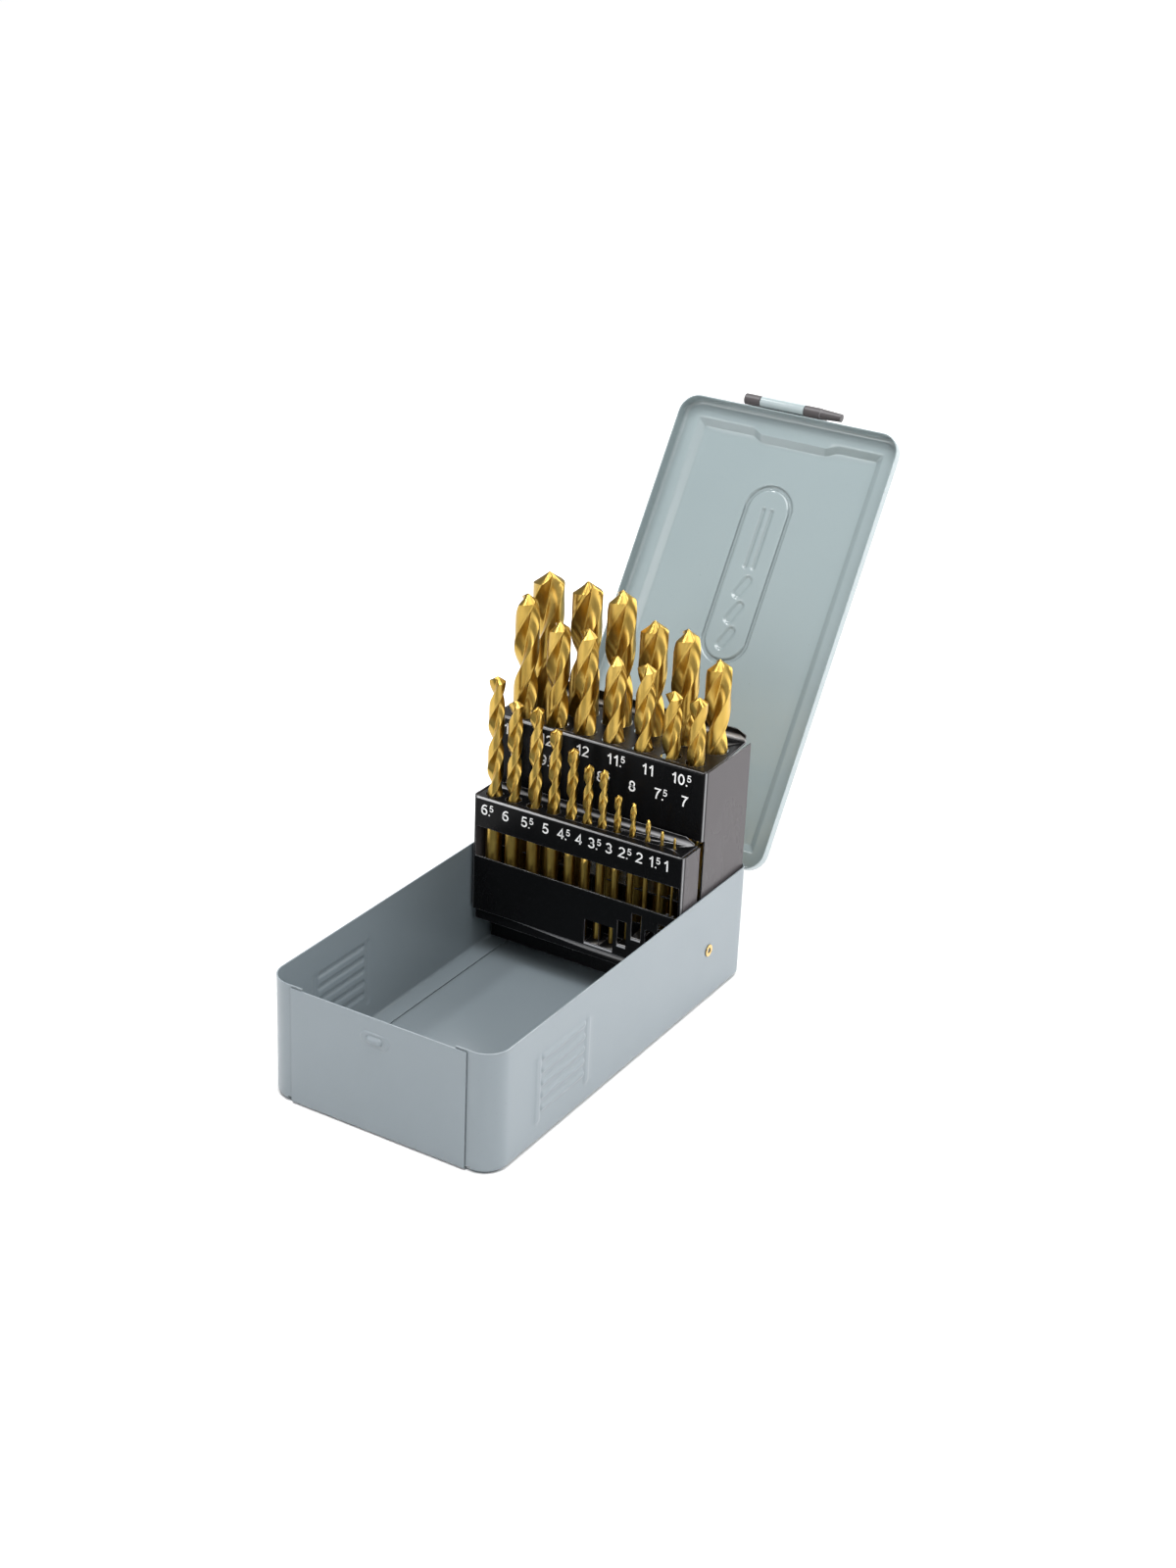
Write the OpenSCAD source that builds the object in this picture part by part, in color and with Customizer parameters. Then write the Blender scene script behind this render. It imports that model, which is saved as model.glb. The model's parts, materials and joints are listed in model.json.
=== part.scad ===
// Metal case for twenty-five twist drills: a bent sheet base, a pressed lid on a
// rear hinge with a clip at its free edge, and a drill stand that folds down flat.
// X is the width, Y runs from the front to the rear and Z is up.
// The origin is the middle of the base's underside.

/* [Base] */
// Width over the side walls
base_w = 100; // [90:1:115]
// Length from the front panel to the rear panel
base_l = 184; // [182:1:200]
// Height of the side walls
side_h = 49.6; // [49:0.2:50]
// Height of the front and rear panels
front_h = 48.8; // [46:0.2:49]
// Thickness of the base's sheet
base_sheet = 0.5; // [0.4:0.05:0.6]
// Outer radius of the two front corners
front_corner_r = 9.6; // [8:0.2:12]
// Outer radius of the two rear corners
rear_corner_r = 4.5; // [4:0.1:5]
// Radius of the bend between a wall and the floor
floor_bend_r = 1.6; // [1.2:0.1:2.5]
// Width of the front panel, which laps over the side sheets
front_panel_w = 76.6; // [70:0.2:78]
// Reach of each side sheet behind the front panel
front_lap = 4.8; // [3:0.2:7]
// Width of each side sheet's flange on the floor
floor_flange_w = 8.5; // [7:0.5:9]

/* [Pressed grips] */
// Distance from the front face to the middle of the grip
grip_from_front = 45.6; // [42:0.2:50]
// Length of the grip between its two upright bars
grip_l = 33.4; // [28:0.2:38]
// Height of the lower end of the upright bars
grip_low = 10.4; // [8:0.2:12]
// Height of the upper end of the upright bars
grip_high = 35.4; // [32:0.2:38]
// Number of horizontal ribs in the grip
grip_ribs = 5; // [3:1:6]
// Radius of a pressed rib
rib_r = 1.1; // [0.9:0.05:1.3]
// How far a rib stands out of the wall
rib_proud = 0.5; // [0.4:0.05:0.6]

/* [Catch] */
// Sideways place of the catch on the front panel
catch_x = -0.8; // [-2:0.1:2]
// Height of the middle of the catch
catch_z = 40; // [39.6:0.1:40.4]
// Width of the catch
catch_w = 7.4; // [6:0.2:9]
// Radius of the catch's round face
catch_r = 1.5; // [1.2:0.05:1.6]
// Width of the pressed field round the catch
catch_field_w = 13; // [11:0.5:16]
// Height of the pressed field round the catch
catch_field_h = 6; // [5:0.2:7]
// Height that the field stands out
catch_field_proud = 0.3; // [0.2:0.05:0.4]

/* [Lid] */
// Outer width of the lid
lid_w = 102.4; // [102:0.1:104]
// Outer length of the lid
lid_l = 188.3; // [188:0.1:190]
// Depth of the lid's skirt, from its rim to the top of its ledge
lid_depth = 6.3; // [5.5:0.1:7]
// Thickness of the lid's sheet
lid_sheet = 0.5; // [0.4:0.05:0.6]
// Outer radius of the lid's corners
lid_corner_r = 8.5; // [7:0.1:9.5]
// Outer radius of the bend between the skirt and the ledge
lid_bend_r = 2.2; // [1.5:0.1:3]
// Width of the flat ledge round the raised panel
ledge_w = 7.4; // [6:0.1:8]
// Run of the slope between the ledge and the panel
slope_run = 3; // [2:0.1:4]
// Height of the raised panel over the ledge
panel_rise = 2.4; // [2:0.1:3]
// Corner radius of the raised panel
panel_corner_r = 5; // [3.5:0.5:7]
// Height over the underside at which the closed lid's ledge lies inside
ledge_inside_z = 50.9; // [50.9:0.1:51.5]
// Gap between the front panel and the closed lid's front skirt
lid_front_gap = 0.6; // [0.4:0.05:0.8]
// Angle between the closed lid and the open lid
lid_open_angle = 122.9; // [100:0.1:125]
// Length of the oblong bead in the panel
bead_l = 79; // [60:1:90]
// Width of the oblong bead in the panel
bead_w = 22.4; // [18:0.2:26]
// Distance from the lid's free edge to the far end of the bead
bead_from_free_edge = 29.5; // [26:0.5:34]
// Radius of the bead's round section
bead_r = 1.1; // [0.9:0.05:1.3]
// Height of the bead over the panel
bead_proud = 0.55; // [0.4:0.05:0.6]

/* [Rear hinge] */
// Distance from the lid's rear skirt to the hinge pin
hinge_back = 0.8; // [0.7:0.05:0.9]
// Distance from the lid's rim down to the hinge pin
hinge_drop = 2; // [1.9:0.1:2.2]
// Diameter of the hinge pin
hinge_pin_d = 1.6; // [1.4:0.1:1.8]
// Number of knuckles along the hinge
hinge_knuckles = 7; // [5:2:9]
// Length of one knuckle
hinge_knuckle_l = 10; // [8:0.5:11]
// Lower edge of the leaf on the rear panel
hinge_leaf_low = 28; // [24:1:32]
// Thickness of the leaf
hinge_leaf_t = 0.6; // [0.5:0.05:0.7]

/* [Latch] */
// Diameter of the rolled knuckle at the lid's free edge
latch_roll_d = 4.7; // [4.4:0.1:5]
// Sideways place of the left end of the roll
latch_roll_left = -14.9; // [-16:0.1:-12]
// Length of the roll
latch_roll_l = 20.4; // [18:0.2:22]
// Height of the roll's axis over the lid's rim when the lid is closed
latch_roll_over_rim = 0.6; // [0.4:0.1:0.8]
// Diameter of the latch pin
latch_pin_d = 3.6; // [3.2:0.1:3.8]
// Length of each of the clip's two ears
clip_ear_l = 7.2; // [6:0.2:8]
// Distance from the pin to the top of the clip's lip
clip_reach = 7.5; // [7.4:0.1:8.4]
// Thickness of the clip's plate
clip_t = 1.8; // [1.4:0.1:2]
// Thickness of the clip's lip
clip_lip_t = 1.2; // [1:0.1:1.4]
// Width of the clip's lip
clip_lip_w = 12; // [10:0.5:14]
// Length of the clip's thumb tab
clip_tab_l = 9.6; // [8:0.2:11]
// Diameter of the thumb tab's free end
clip_tab_end_d = 3.4; // [3:0.1:4]
// Angle that the clip swings from its rest behind the lid to the catch
clip_swing = 190; // [150:1:190]

/* [Drill stand] */
// Distance from the front face to the pivot
pivot_from_front = 153.8; // [153.6:0.1:154]
// Height of the pivot over the underside
pivot_z = 23.4; // [23.3:0.1:23.5]
// Gap between each side wall and the stand
stand_side_gap = 1; // [0.95:0.05:1.4]
// Thickness of the racks' sheet
rack_sheet = 0.6; // [0.5:0.05:0.7]
// Radius of the racks' upright bends
rack_bend_r = 1.6; // [1.2:0.1:2]
// Distance from the front face to the front rack's front plate
front_rack_from_front = 131.8; // [131.8:0.1:132.6]
// Depth of the front rack
front_rack_depth = 12.8; // [12.4:0.1:13]
// Height of the front rack's top plate
front_rack_top = 72.4; // [71:0.1:73]
// Height of the front rack's band with the sizes
front_band_h = 13.2; // [12:0.1:14]
// Height of the open window in the front rack
front_window_h = 13.4; // [12:0.1:14]
// Height of the front rack's bottom plate over the underside
front_rack_low = 21.6; // [21:0.1:22.4]
// Height of the flange at the rear of the front rack's top plate
front_flange_h = 2.6; // [2:0.1:3.2]
// Distance from the front face to the rear rack's front plate
rear_rack_from_front = 145.8; // [145.4:0.1:146]
// Distance from the front face to the rear rack's rear flange
rear_rack_end = 181; // [179:0.1:181]
// Height of the rear rack's top plate
rear_rack_top = 103; // [101:0.1:105]
// Height of the rear rack's front plate
rear_plate_h = 29.2; // [27:0.1:30]
// Height of the flange at the rear of the rear rack's top plate
rear_flange_h = 4.9; // [4:0.1:5.4]
// Step between the rear rack's front plate and its legs
rear_leg_step = 1.6; // [1:0.1:2.4]
// Distance from the front face to the front row of drills
front_row_from_front = 137.4; // [137:0.1:138]
// Distance from the front face to the middle row of drills
middle_row_from_front = 152.2; // [152:0.1:153]
// Distance from the front face to the rear row of drills
rear_row_from_front = 167.6; // [167:0.1:168.4]
// Height of the plate under the middle row
middle_floor_z = 21.2; // [20:0.1:22]
// Height of the plate under the rear row
rear_floor_z = 7.8; // [7.4:0.1:8.4]
// Height of the guide plate that keeps the shanks upright
guide_z = 44; // [38:0.5:46]
// Gap between a drill and its hole, all round
drill_gap = 0.35; // [0.25:0.05:0.5]

/* [Pivots] */
// Diameter of the eyelet's flanges
eyelet_flange_d = 5; // [4.6:0.1:5.6]
// Diameter of the eyelet's tube
eyelet_tube_d = 3.6; // [3.2:0.1:4]
// Diameter of the hole through the eyelet
eyelet_hole_d = 2.2; // [1.8:0.1:2.6]
// Thickness of the eyelet's flanges
eyelet_flange_t = 0.5; // [0.4:0.05:0.6]
// Diameter of the washer between the wall and the stand
washer_d = 9; // [7:0.5:11]
// Thickness of the washer
washer_t = 0.6; // [0.5:0.05:0.65]

/* [Drills] */
// Helix angle of the flutes
helix_angle = 28; // [24:1:34]
// Angle of the drill points
point_angle = 118; // [110:1:135]

/* [Hidden] */
$fn = 48;

// Overrun of every cut
cut = 1;
// Gap between sheets that lie face to face
lap_gap = 0.05;
// Gap under a drill's shank
seat_gap = 0.1;
// Radial clearance of every pin in its barrel
pin_gap = 0.05;
// Gap between two pieces that move past each other
side_gap = 0.3;
// Thickness of the slices that the panel's slope is stretched between
skin = 0.01;

// Base: the tray's floor lies under the side sheets' flanges
wall_low = base_sheet + lap_gap;
wall_front = base_sheet + lap_gap;
wall_rear = base_l - base_sheet - lap_gap;
rear_panel_margin = 1;
rear_panel_w = base_w - 2 * (rear_corner_r + rear_panel_margin);
front_tab_x = front_panel_w / 2 - front_lap;
rear_tab_x = rear_panel_w / 2 - front_lap;
catch_proud = 1.4;
grip_rib_inset = 3.2;
// The topmost rib lies at the bars' upper ends, and this share of a step is left off below
grip_step_share = 0.3;

// Lid, in the closed pose
lid_top = ledge_inside_z + lid_sheet;
lid_rim = lid_top - lid_depth;
lid_front = -lid_front_gap - lid_sheet;
lid_rear = lid_front + lid_l;
panel_top = lid_top + panel_rise;
panel_inset = ledge_w + slope_run;
ledge_overlap = 0.3;
bead_mid_y = lid_front + bead_from_free_edge + bead_l / 2;
hinge_y = lid_rear + hinge_back;
hinge_z = lid_rim - hinge_drop;
hinge_bore_r = hinge_pin_d / 2 + pin_gap;
hinge_barrel_r = hinge_bore_r + lid_sheet;
hinge_w = hinge_knuckles * hinge_knuckle_l;
leaf_bend_drop = 5;
latch_r = latch_roll_d / 2;
latch_pin_r = latch_pin_d / 2;
latch_bore_r = latch_pin_r + pin_gap;
latch_y = lid_front - latch_r - side_gap;
latch_z = lid_rim + latch_roll_over_rim;
ear_left = latch_roll_left - side_gap - clip_ear_l;
ear_right = latch_roll_left + latch_roll_l + side_gap;
clip_lip_gap = catch_field_proud + side_gap;
tab_root_r = 2.2;

// Stand, upright as in use
rack_w = base_w - 2 * (base_sheet + stand_side_gap);
front_plate_y = front_rack_from_front;
front_flange_y = front_plate_y + front_rack_depth;
front_window_low = front_rack_top - front_band_h - front_window_h;
front_floor_z = front_rack_low + rack_sheet;
front_flange_inset = 2.8;
rear_flange_inset = 2.3;
front_flange_w = rack_w - 2 * front_flange_inset;
rear_flange_w = rack_w - 2 * rear_flange_inset;
flange_chamfer = 4;
rear_leg_top = rear_rack_top - rear_plate_h;
rear_leg_y = rear_rack_from_front + rear_leg_step;
rack_in_w = rack_w - 2 * rack_sheet;
rack_top_gap = 0.3;
top_notch_from_front = 160.6;
fold_bend_r = 1.3;
lip_set_back = 0.4;
lip_y = front_flange_y - lip_set_back;
lip_low = 3.9;
step_y = 159.1;
tray_rear_y = 176.6;
tray_side_gap = 1.2;
tray_w = rack_in_w - 2 * tray_side_gap;
leg_low = 3.4;
leg_sweep_r = rear_rack_end - pivot_from_front;
tray_flange_h = 10;
tray_flange_front_y = 161.5;
tray_flange_rear_y = 173;
guide_flange_h = 6;
guide_front_y = 148.2;
guide_rear_y = 179.4;
eyelet_r = eyelet_tube_d / 2;
washer_x = base_w / 2 - base_sheet - lap_gap - washer_t;

// Drills: their sizes run from the smallest up in even steps
smallest_d = 1;
drill_step = 0.5;
// Lengths as shares of the longest, and flutes as shares of each length
longest_l = 151;
length_shares = [
    0.225, 0.265, 0.325, 0.396, 0.430, 0.489, 0.497, 0.530, 0.570, 0.616, 0.616, 0.669,
    0.722, 0.722, 0.775, 0.775, 0.828, 0.828, 0.881, 0.881, 0.940, 0.940, 1, 1, 1
];
flute_shares = [
    0.353, 0.450, 0.490, 0.502, 0.508, 0.528, 0.573, 0.588, 0.605, 0.613, 0.613, 0.624,
    0.633, 0.633, 0.641, 0.641, 0.648, 0.648, 0.654, 0.654, 0.662, 0.662, 0.669, 0.669, 0.669
];
// Sideways places as shares of half the racks' inner width, from the smallest drill up
place_shares = [
    0.852, 0.735, 0.602, 0.460, 0.315, 0.172, 0.028, -0.124, -0.296, -0.482, -0.690, -0.877,
    0.830, 0.602, 0.342, 0.060, -0.216, -0.490, -0.802,
    0.825, 0.521, 0.212, -0.100, -0.430, -0.806
];
front_row_count = 12;
middle_row_count = 7;
first_rear_count = front_row_count + middle_row_count;
// Stop tabs for the six smallest drills, as shares of the lower plate's height
seat_shares = [0.884, 0.688, 0.442, 0.215, 0.062, 0.062];
slot_low_shares = [0.400, 0.210, 0.410, 0.207, 0.062, 0.062];
slot_high_shares = [0.840, 0.656, 0.860, 0.651, 0.474, 0.474];
// Slot edges beside each drill, as shares of half the racks' inner width
slot_left_shares = [0.047, 0.045, 0.044, 0.032, 0.062, 0.056];
slot_right_shares = [0.022, 0.039, 0.048, 0.053, 0.075, 0.080];
// Cross-section of the fluted part over half a turn, as shares of the drill's radius
section_shares = [1, 0.98, 0.90, 0.46, 0.36, 0.66];
small_section_shares = [1, 0.88, 0.40, 0.62];
small_section_count = 9;
turn_ring_count = 11;
shank_overlap = 0.3;

lower_plate_h = front_window_low - front_rack_low;
function drill_d(i) = smallest_d + i * drill_step;
function drill_l(i) = longest_l * length_shares[i];
function flute_l(i) = drill_l(i) * flute_shares[i];
function drill_x(i) = place_shares[i] * rack_in_w / 2;
function drill_y(i) = i < front_row_count ? front_row_from_front
    : i < first_rear_count ? middle_row_from_front : rear_row_from_front;
function is_stopped(i) = i < len(seat_shares);
function stop_z(i) = front_rack_low + seat_shares[i] * lower_plate_h;
function seat_z(i) = is_stopped(i) ? stop_z(i)
    : i < front_row_count ? front_floor_z
    : i < first_rear_count ? middle_floor_z : rear_floor_z;
function hole_r(i) = drill_d(i) / 2 + drill_gap;

// Puts a shape, drawn with Y from the front face, into the object's frame
module in_case() {
    translate([0, -base_l / 2, 0]) children();
}

// Extrudes an outline of (y, z) points along X from x0 over the given length
module along_x(x0, length) {
    translate([x0, 0, 0]) rotate([90, 0, 90]) linear_extrude(length) children();
}

// Turns the closed lid's pieces to the open pose
module lid_opened() {
    in_case() translate([0, hinge_y, hinge_z]) rotate([-lid_open_angle, 0, 0])
        translate([0, -hinge_y, -hinge_z]) children();
}

// A rectangle from the front to the rear with its own front and rear corner radii
module rounded_plan(w, front, rear, front_r, rear_r) {
    translate([-w / 2, front + front_r]) square([w, rear - front - front_r - rear_r]);
    translate([-w / 2 + front_r, front]) square([w - 2 * front_r, front_r]);
    translate([-w / 2 + rear_r, rear - rear_r]) square([w - 2 * rear_r, rear_r]);
    for (side = [-1, 1]) {
        translate([side * (w / 2 - front_r), front + front_r]) circle(front_r);
        translate([side * (w / 2 - rear_r), rear - rear_r]) circle(rear_r);
    }
}

// A quarter of a ring in the corner where both coordinates are negative
module quarter_ring(r, t) {
    intersection() {
        difference() {
            circle(r);
            circle(r - t);
        }
        translate([-r - cut, -r - cut]) square(r + cut);
    }
}

module catch_capsule(r) {
    half = catch_w / 2 - catch_r;
    translate([catch_x, catch_r - catch_proud, catch_z]) {
        rotate([0, 90, 0]) cylinder(r = r, h = 2 * half, center = true);
        for (side = [-1, 1]) translate([side * half, 0, 0]) sphere(r);
    }
}

module catch_field() {
    half = (catch_field_w - catch_field_h) / 2;
    translate([catch_x, 0, catch_z]) rotate([90, 0, 0]) {
        for (side = [-1, 1])
            translate([side * half, 0, 0]) cylinder(r = catch_field_h / 2, h = catch_field_proud);
        translate([-half, -catch_field_h / 2, 0]) cube([2 * half, catch_field_h, catch_field_proud]);
    }
}

module end_panel(w) {
    r = floor_bend_r;
    along_x(-w / 2, w) {
        translate([0, r]) square([base_sheet, front_h - r]);
        translate([r, r]) quarter_ring(r, base_sheet);
    }
}

module base_tray() {
    color("lightslategray") in_case() {
        r = floor_bend_r;
        difference() {
            union() {
                end_panel(front_panel_w);
                catch_field();
                intersection() {
                    catch_capsule(catch_r);
                    translate([-base_w / 2, -catch_r - cut, 0])
                        cube([base_w, catch_r + cut + base_sheet, side_h]);
                }
            }
            catch_capsule(catch_r - base_sheet);
        }
        translate([0, base_l, 0]) mirror([0, 1, 0]) end_panel(rear_panel_w);
        linear_extrude(base_sheet)
            rounded_plan(base_w - 2 * r, r, base_l - r, front_corner_r - r, rear_corner_r - r);
    }
}

// The side sheet's bottom bend round one corner, whose centre is the origin
module corner_bend(corner_r) {
    rotate_extrude(angle = 90)
        translate([corner_r - floor_bend_r, floor_bend_r])
            mirror([1, 0]) quarter_ring(floor_bend_r, base_sheet);
}

module grip_ribs_at(r) {
    x = base_w / 2 - rib_r + rib_proud;
    step = (grip_high - grip_low) / (grip_ribs - grip_step_share);
    for (end = [-1, 1])
        translate([x, grip_from_front + end * grip_l / 2, grip_low])
            cylinder(r = r, h = grip_high - grip_low);
    for (i = [1:grip_ribs])
        translate([x, grip_from_front - grip_l / 2 + grip_rib_inset, grip_low + (i - grip_step_share) * step])
            rotate([-90, 0, 0]) cylinder(r = r, h = grip_l - 2 * grip_rib_inset);
}

module side_wall_solid() {
    half = base_w / 2;
    bend_z = wall_low + floor_bend_r;
    difference() {
        union() {
            translate([0, 0, bend_z]) linear_extrude(side_h - bend_z) intersection() {
                difference() {
                    rounded_plan(base_w, wall_front, wall_rear, front_corner_r, rear_corner_r);
                    rounded_plan(base_w - 2 * base_sheet, wall_front + base_sheet,
                        wall_rear - base_sheet, front_corner_r - base_sheet, rear_corner_r - base_sheet);
                }
                union() {
                    translate([front_tab_x, 0]) square([half, base_l / 2]);
                    translate([rear_tab_x, base_l / 2]) square([half, base_l / 2]);
                }
            }
            intersection() {
                grip_ribs_at(rib_r);
                translate([half - base_sheet, 0, 0]) cube([half, base_l, side_h]);
            }
        }
        grip_ribs_at(rib_r - base_sheet);
        translate([half, pivot_from_front, pivot_z]) rotate([0, 90, 0])
            cylinder(r = eyelet_r + lap_gap, h = 2 * cut, center = true);
    }
    front_arc_y = wall_front + front_corner_r;
    rear_arc_y = wall_rear - rear_corner_r;
    translate([half - front_corner_r, front_arc_y, wall_low]) mirror([0, 1, 0])
        corner_bend(front_corner_r);
    translate([half - rear_corner_r, rear_arc_y, wall_low]) corner_bend(rear_corner_r);
    translate([half - floor_bend_r, rear_arc_y, bend_z]) rotate([90, 0, 0])
        linear_extrude(rear_arc_y - front_arc_y) mirror([1, 0]) quarter_ring(floor_bend_r, base_sheet);
    translate([half - floor_flange_w, front_arc_y, wall_low])
        cube([floor_flange_w - floor_bend_r, rear_arc_y - front_arc_y, base_sheet]);
}

module side_wall_left() {
    color("lightslategray") in_case() mirror([1, 0, 0]) side_wall_solid();
}

module side_wall_right() {
    color("lightslategray") in_case() side_wall_solid();
}

// Places one child at each knuckle of the rear hinge whose number has the given parity
module hinge_knuckle_places(parity) {
    for (i = [parity:2:hinge_knuckles - 1])
        translate([-hinge_w / 2 + i * hinge_knuckle_l + side_gap / 2, 0, 0]) children();
}

module rear_hinge_leaf() {
    plate_y = base_l + lap_gap;
    bend_z = hinge_z - leaf_bend_drop;
    color("slategray") in_case() difference() {
        union() {
            translate([-hinge_w / 2, plate_y, hinge_leaf_low])
                cube([hinge_w, hinge_leaf_t, bend_z - hinge_leaf_low]);
            hinge_knuckle_places(1) along_x(0, hinge_knuckle_l - side_gap) {
                polygon([
                    [plate_y, bend_z - hinge_leaf_t],
                    [plate_y + hinge_leaf_t, bend_z - hinge_leaf_t],
                    [hinge_y, hinge_z - hinge_barrel_r],
                    [hinge_y, hinge_z],
                    [hinge_y - hinge_barrel_r, hinge_z],
                    [plate_y, bend_z]
                ]);
                translate([hinge_y, hinge_z]) circle(hinge_barrel_r);
            }
        }
        along_x(-hinge_w / 2 - cut, hinge_w + 2 * cut)
            translate([hinge_y, hinge_z]) circle(hinge_bore_r);
    }
}

module rear_hinge_pin() {
    color("silver") in_case()
        along_x(-hinge_w / 2, hinge_w) translate([hinge_y, hinge_z]) circle(hinge_pin_d / 2);
}

module lid_plan(inset, r) {
    rounded_plan(lid_w - 2 * inset, lid_front + inset, lid_rear - inset, r, r);
}

module lid_corner_bend() {
    rotate_extrude(angle = 90) translate([lid_corner_r - lid_bend_r, 0])
        mirror([1, 0]) mirror([0, 1]) quarter_ring(lid_bend_r, lid_sheet);
}

module lid_edge_bend(length) {
    linear_extrude(length, center = true) mirror([1, 0]) mirror([0, 1]) quarter_ring(lid_bend_r, lid_sheet);
}

module lid_bends() {
    mid_y = (lid_front + lid_rear) / 2;
    translate([0, mid_y, lid_top - lid_bend_r]) {
        for (sx = [0, 1]) mirror([sx, 0, 0]) {
            for (sy = [0, 1]) mirror([0, sy, 0])
                translate([lid_w / 2 - lid_corner_r, lid_l / 2 - lid_corner_r, 0]) lid_corner_bend();
            translate([lid_w / 2 - lid_bend_r, 0, 0]) rotate([90, 0, 0])
                lid_edge_bend(lid_l - 2 * lid_corner_r);
        }
        for (sy = [0, 1]) mirror([0, sy, 0]) translate([0, lid_l / 2 - lid_bend_r, 0])
            rotate([90, 0, 90]) lid_edge_bend(lid_w - 2 * lid_corner_r);
    }
}

// The raised panel as a solid block, lowered by the given drop
module panel_block(drop) {
    hull() {
        translate([0, 0, lid_top - drop - skin]) linear_extrude(skin)
            lid_plan(ledge_w, panel_corner_r);
        translate([0, 0, panel_top - drop - skin]) linear_extrude(skin)
            lid_plan(panel_inset, panel_corner_r - slope_run / 2);
    }
}

// The oblong bead and the ribs inside it, with a round section of radius r
module panel_beads(r) {
    ring_r = bead_w / 2 - bead_r;
    straight = bead_l - bead_w;
    translate([0, bead_mid_y, panel_top - bead_r + bead_proud]) {
        for (end = [-1, 1]) {
            translate([0, end * straight / 2, 0]) rotate([0, 0, end * 90 - 90])
                rotate_extrude(angle = 180) translate([ring_r, 0]) circle(r);
            translate([end * ring_r, straight / 2, 0]) rotate([90, 0, 0]) cylinder(r = r, h = straight);
        }
        translate([0, -straight * 0.08, 0]) rotate([90, 0, 0]) cylinder(r = r, h = straight * 0.44);
        for (i = [0:2])
            translate([0, straight * (0.06 + i * 0.2), 0]) rotate([90, 0, 55])
                cylinder(r = r, h = ring_r, center = true);
    }
}

module lid_shell() {
    color("lightsteelblue") lid_opened() difference() {
        union() {
            translate([0, 0, lid_rim]) linear_extrude(lid_depth - lid_bend_r) difference() {
                lid_plan(0, lid_corner_r);
                lid_plan(lid_sheet, lid_corner_r - lid_sheet);
            }
            lid_bends();
            translate([0, 0, lid_top - lid_sheet]) linear_extrude(lid_sheet) difference() {
                lid_plan(lid_bend_r, lid_corner_r - lid_bend_r);
                lid_plan(ledge_w + ledge_overlap, panel_corner_r - ledge_overlap);
            }
            difference() {
                union() {
                    panel_block(0);
                    intersection() {
                        panel_beads(bead_r);
                        translate([-lid_w / 2, lid_front, panel_top - lid_sheet])
                            cube([lid_w, lid_l, bead_r]);
                    }
                }
                panel_block(lid_sheet);
                panel_beads(bead_r - lid_sheet);
            }
            hinge_knuckle_places(0) along_x(0, hinge_knuckle_l - side_gap) {
                translate([hinge_y, hinge_z]) circle(hinge_barrel_r);
                translate([lid_rear - lid_sheet, hinge_z]) square([lid_sheet, hinge_drop + lid_sheet]);
            }
            along_x(latch_roll_left, latch_roll_l) {
                translate([latch_y, latch_z]) circle(latch_r);
                translate([latch_y, latch_z + latch_r - lid_sheet])
                    square([lid_front + lid_sheet / 2 - latch_y, lid_sheet]);
            }
        }
        along_x(-hinge_w / 2 - cut, hinge_w + 2 * cut) translate([hinge_y, hinge_z]) circle(hinge_bore_r);
        along_x(latch_roll_left - cut, latch_roll_l + 2 * cut)
            translate([latch_y, latch_z]) circle(latch_bore_r);
    }
}

module latch_pin() {
    color("dimgray") lid_opened() along_x(ear_left, ear_right + clip_ear_l - ear_left - lap_gap)
        translate([latch_y, latch_z]) circle(latch_pin_r);
}

// The clip as it hangs on the latched lid, with the pin's axis as its origin
module clip_solid() {
    lip_y_end = -latch_y - clip_lip_gap;
    plate_top = -latch_r - side_gap;
    plate_low = -clip_reach - clip_lip_t;
    ear_end = ear_right + clip_ear_l;
    for (x = [ear_left, ear_right]) {
        difference() {
            union() {
                along_x(x, clip_ear_l) circle(latch_r);
                along_x(x, clip_ear_l) translate([-clip_t / 2, plate_top]) square([clip_t, -plate_top]);
            }
            along_x(x - cut, clip_ear_l + 2 * cut) circle(latch_bore_r);
        }
    }
    along_x(ear_left, ear_end - ear_left)
        translate([-clip_t / 2, plate_low]) square([clip_t, plate_top - plate_low]);
    along_x(catch_x - clip_lip_w / 2, clip_lip_w)
        translate([-clip_t / 2, plate_low]) square([lip_y_end + clip_t / 2, clip_lip_t]);
    translate([ear_end, 0, 0]) rotate([0, 90, 0]) cylinder(r1 = tab_root_r, r2 = clip_tab_end_d / 2, h = clip_tab_l);
}

module latch_clip() {
    color("dimgray") lid_opened() translate([0, latch_y, latch_z]) rotate([-clip_swing, 0, 0]) clip_solid();
}

// Upright sheet bent round the front of a rack: front plate and two side plates
module rack_wrap(front, rear) {
    linear_extrude(rear_rack_top) difference() {
        intersection() {
            rounded_plan(rack_w, front, rear + 2 * rack_bend_r, rack_bend_r, rack_bend_r);
            translate([-rack_w / 2, front]) square([rack_w, rear - front]);
        }
        rounded_plan(rack_in_w, front + rack_sheet, rear + 2 * rack_bend_r,
            rack_bend_r - rack_sheet, rack_bend_r - rack_sheet);
    }
}

// Row of holes for the drills numbered from first to last
module drill_holes(first, last, z) {
    for (i = [first:last])
        translate([drill_x(i), drill_y(i), z - cut]) cylinder(r = hole_r(i), h = rack_sheet + 2 * cut);
}

module rear_flange_outline(w, low, high) {
    polygon([
        [-w / 2, low], [w / 2, low], [w / 2, high - flange_chamfer / 2],
        [w / 2 - flange_chamfer, high], [-w / 2 + flange_chamfer, high], [-w / 2, high - flange_chamfer / 2]
    ]);
}

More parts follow.
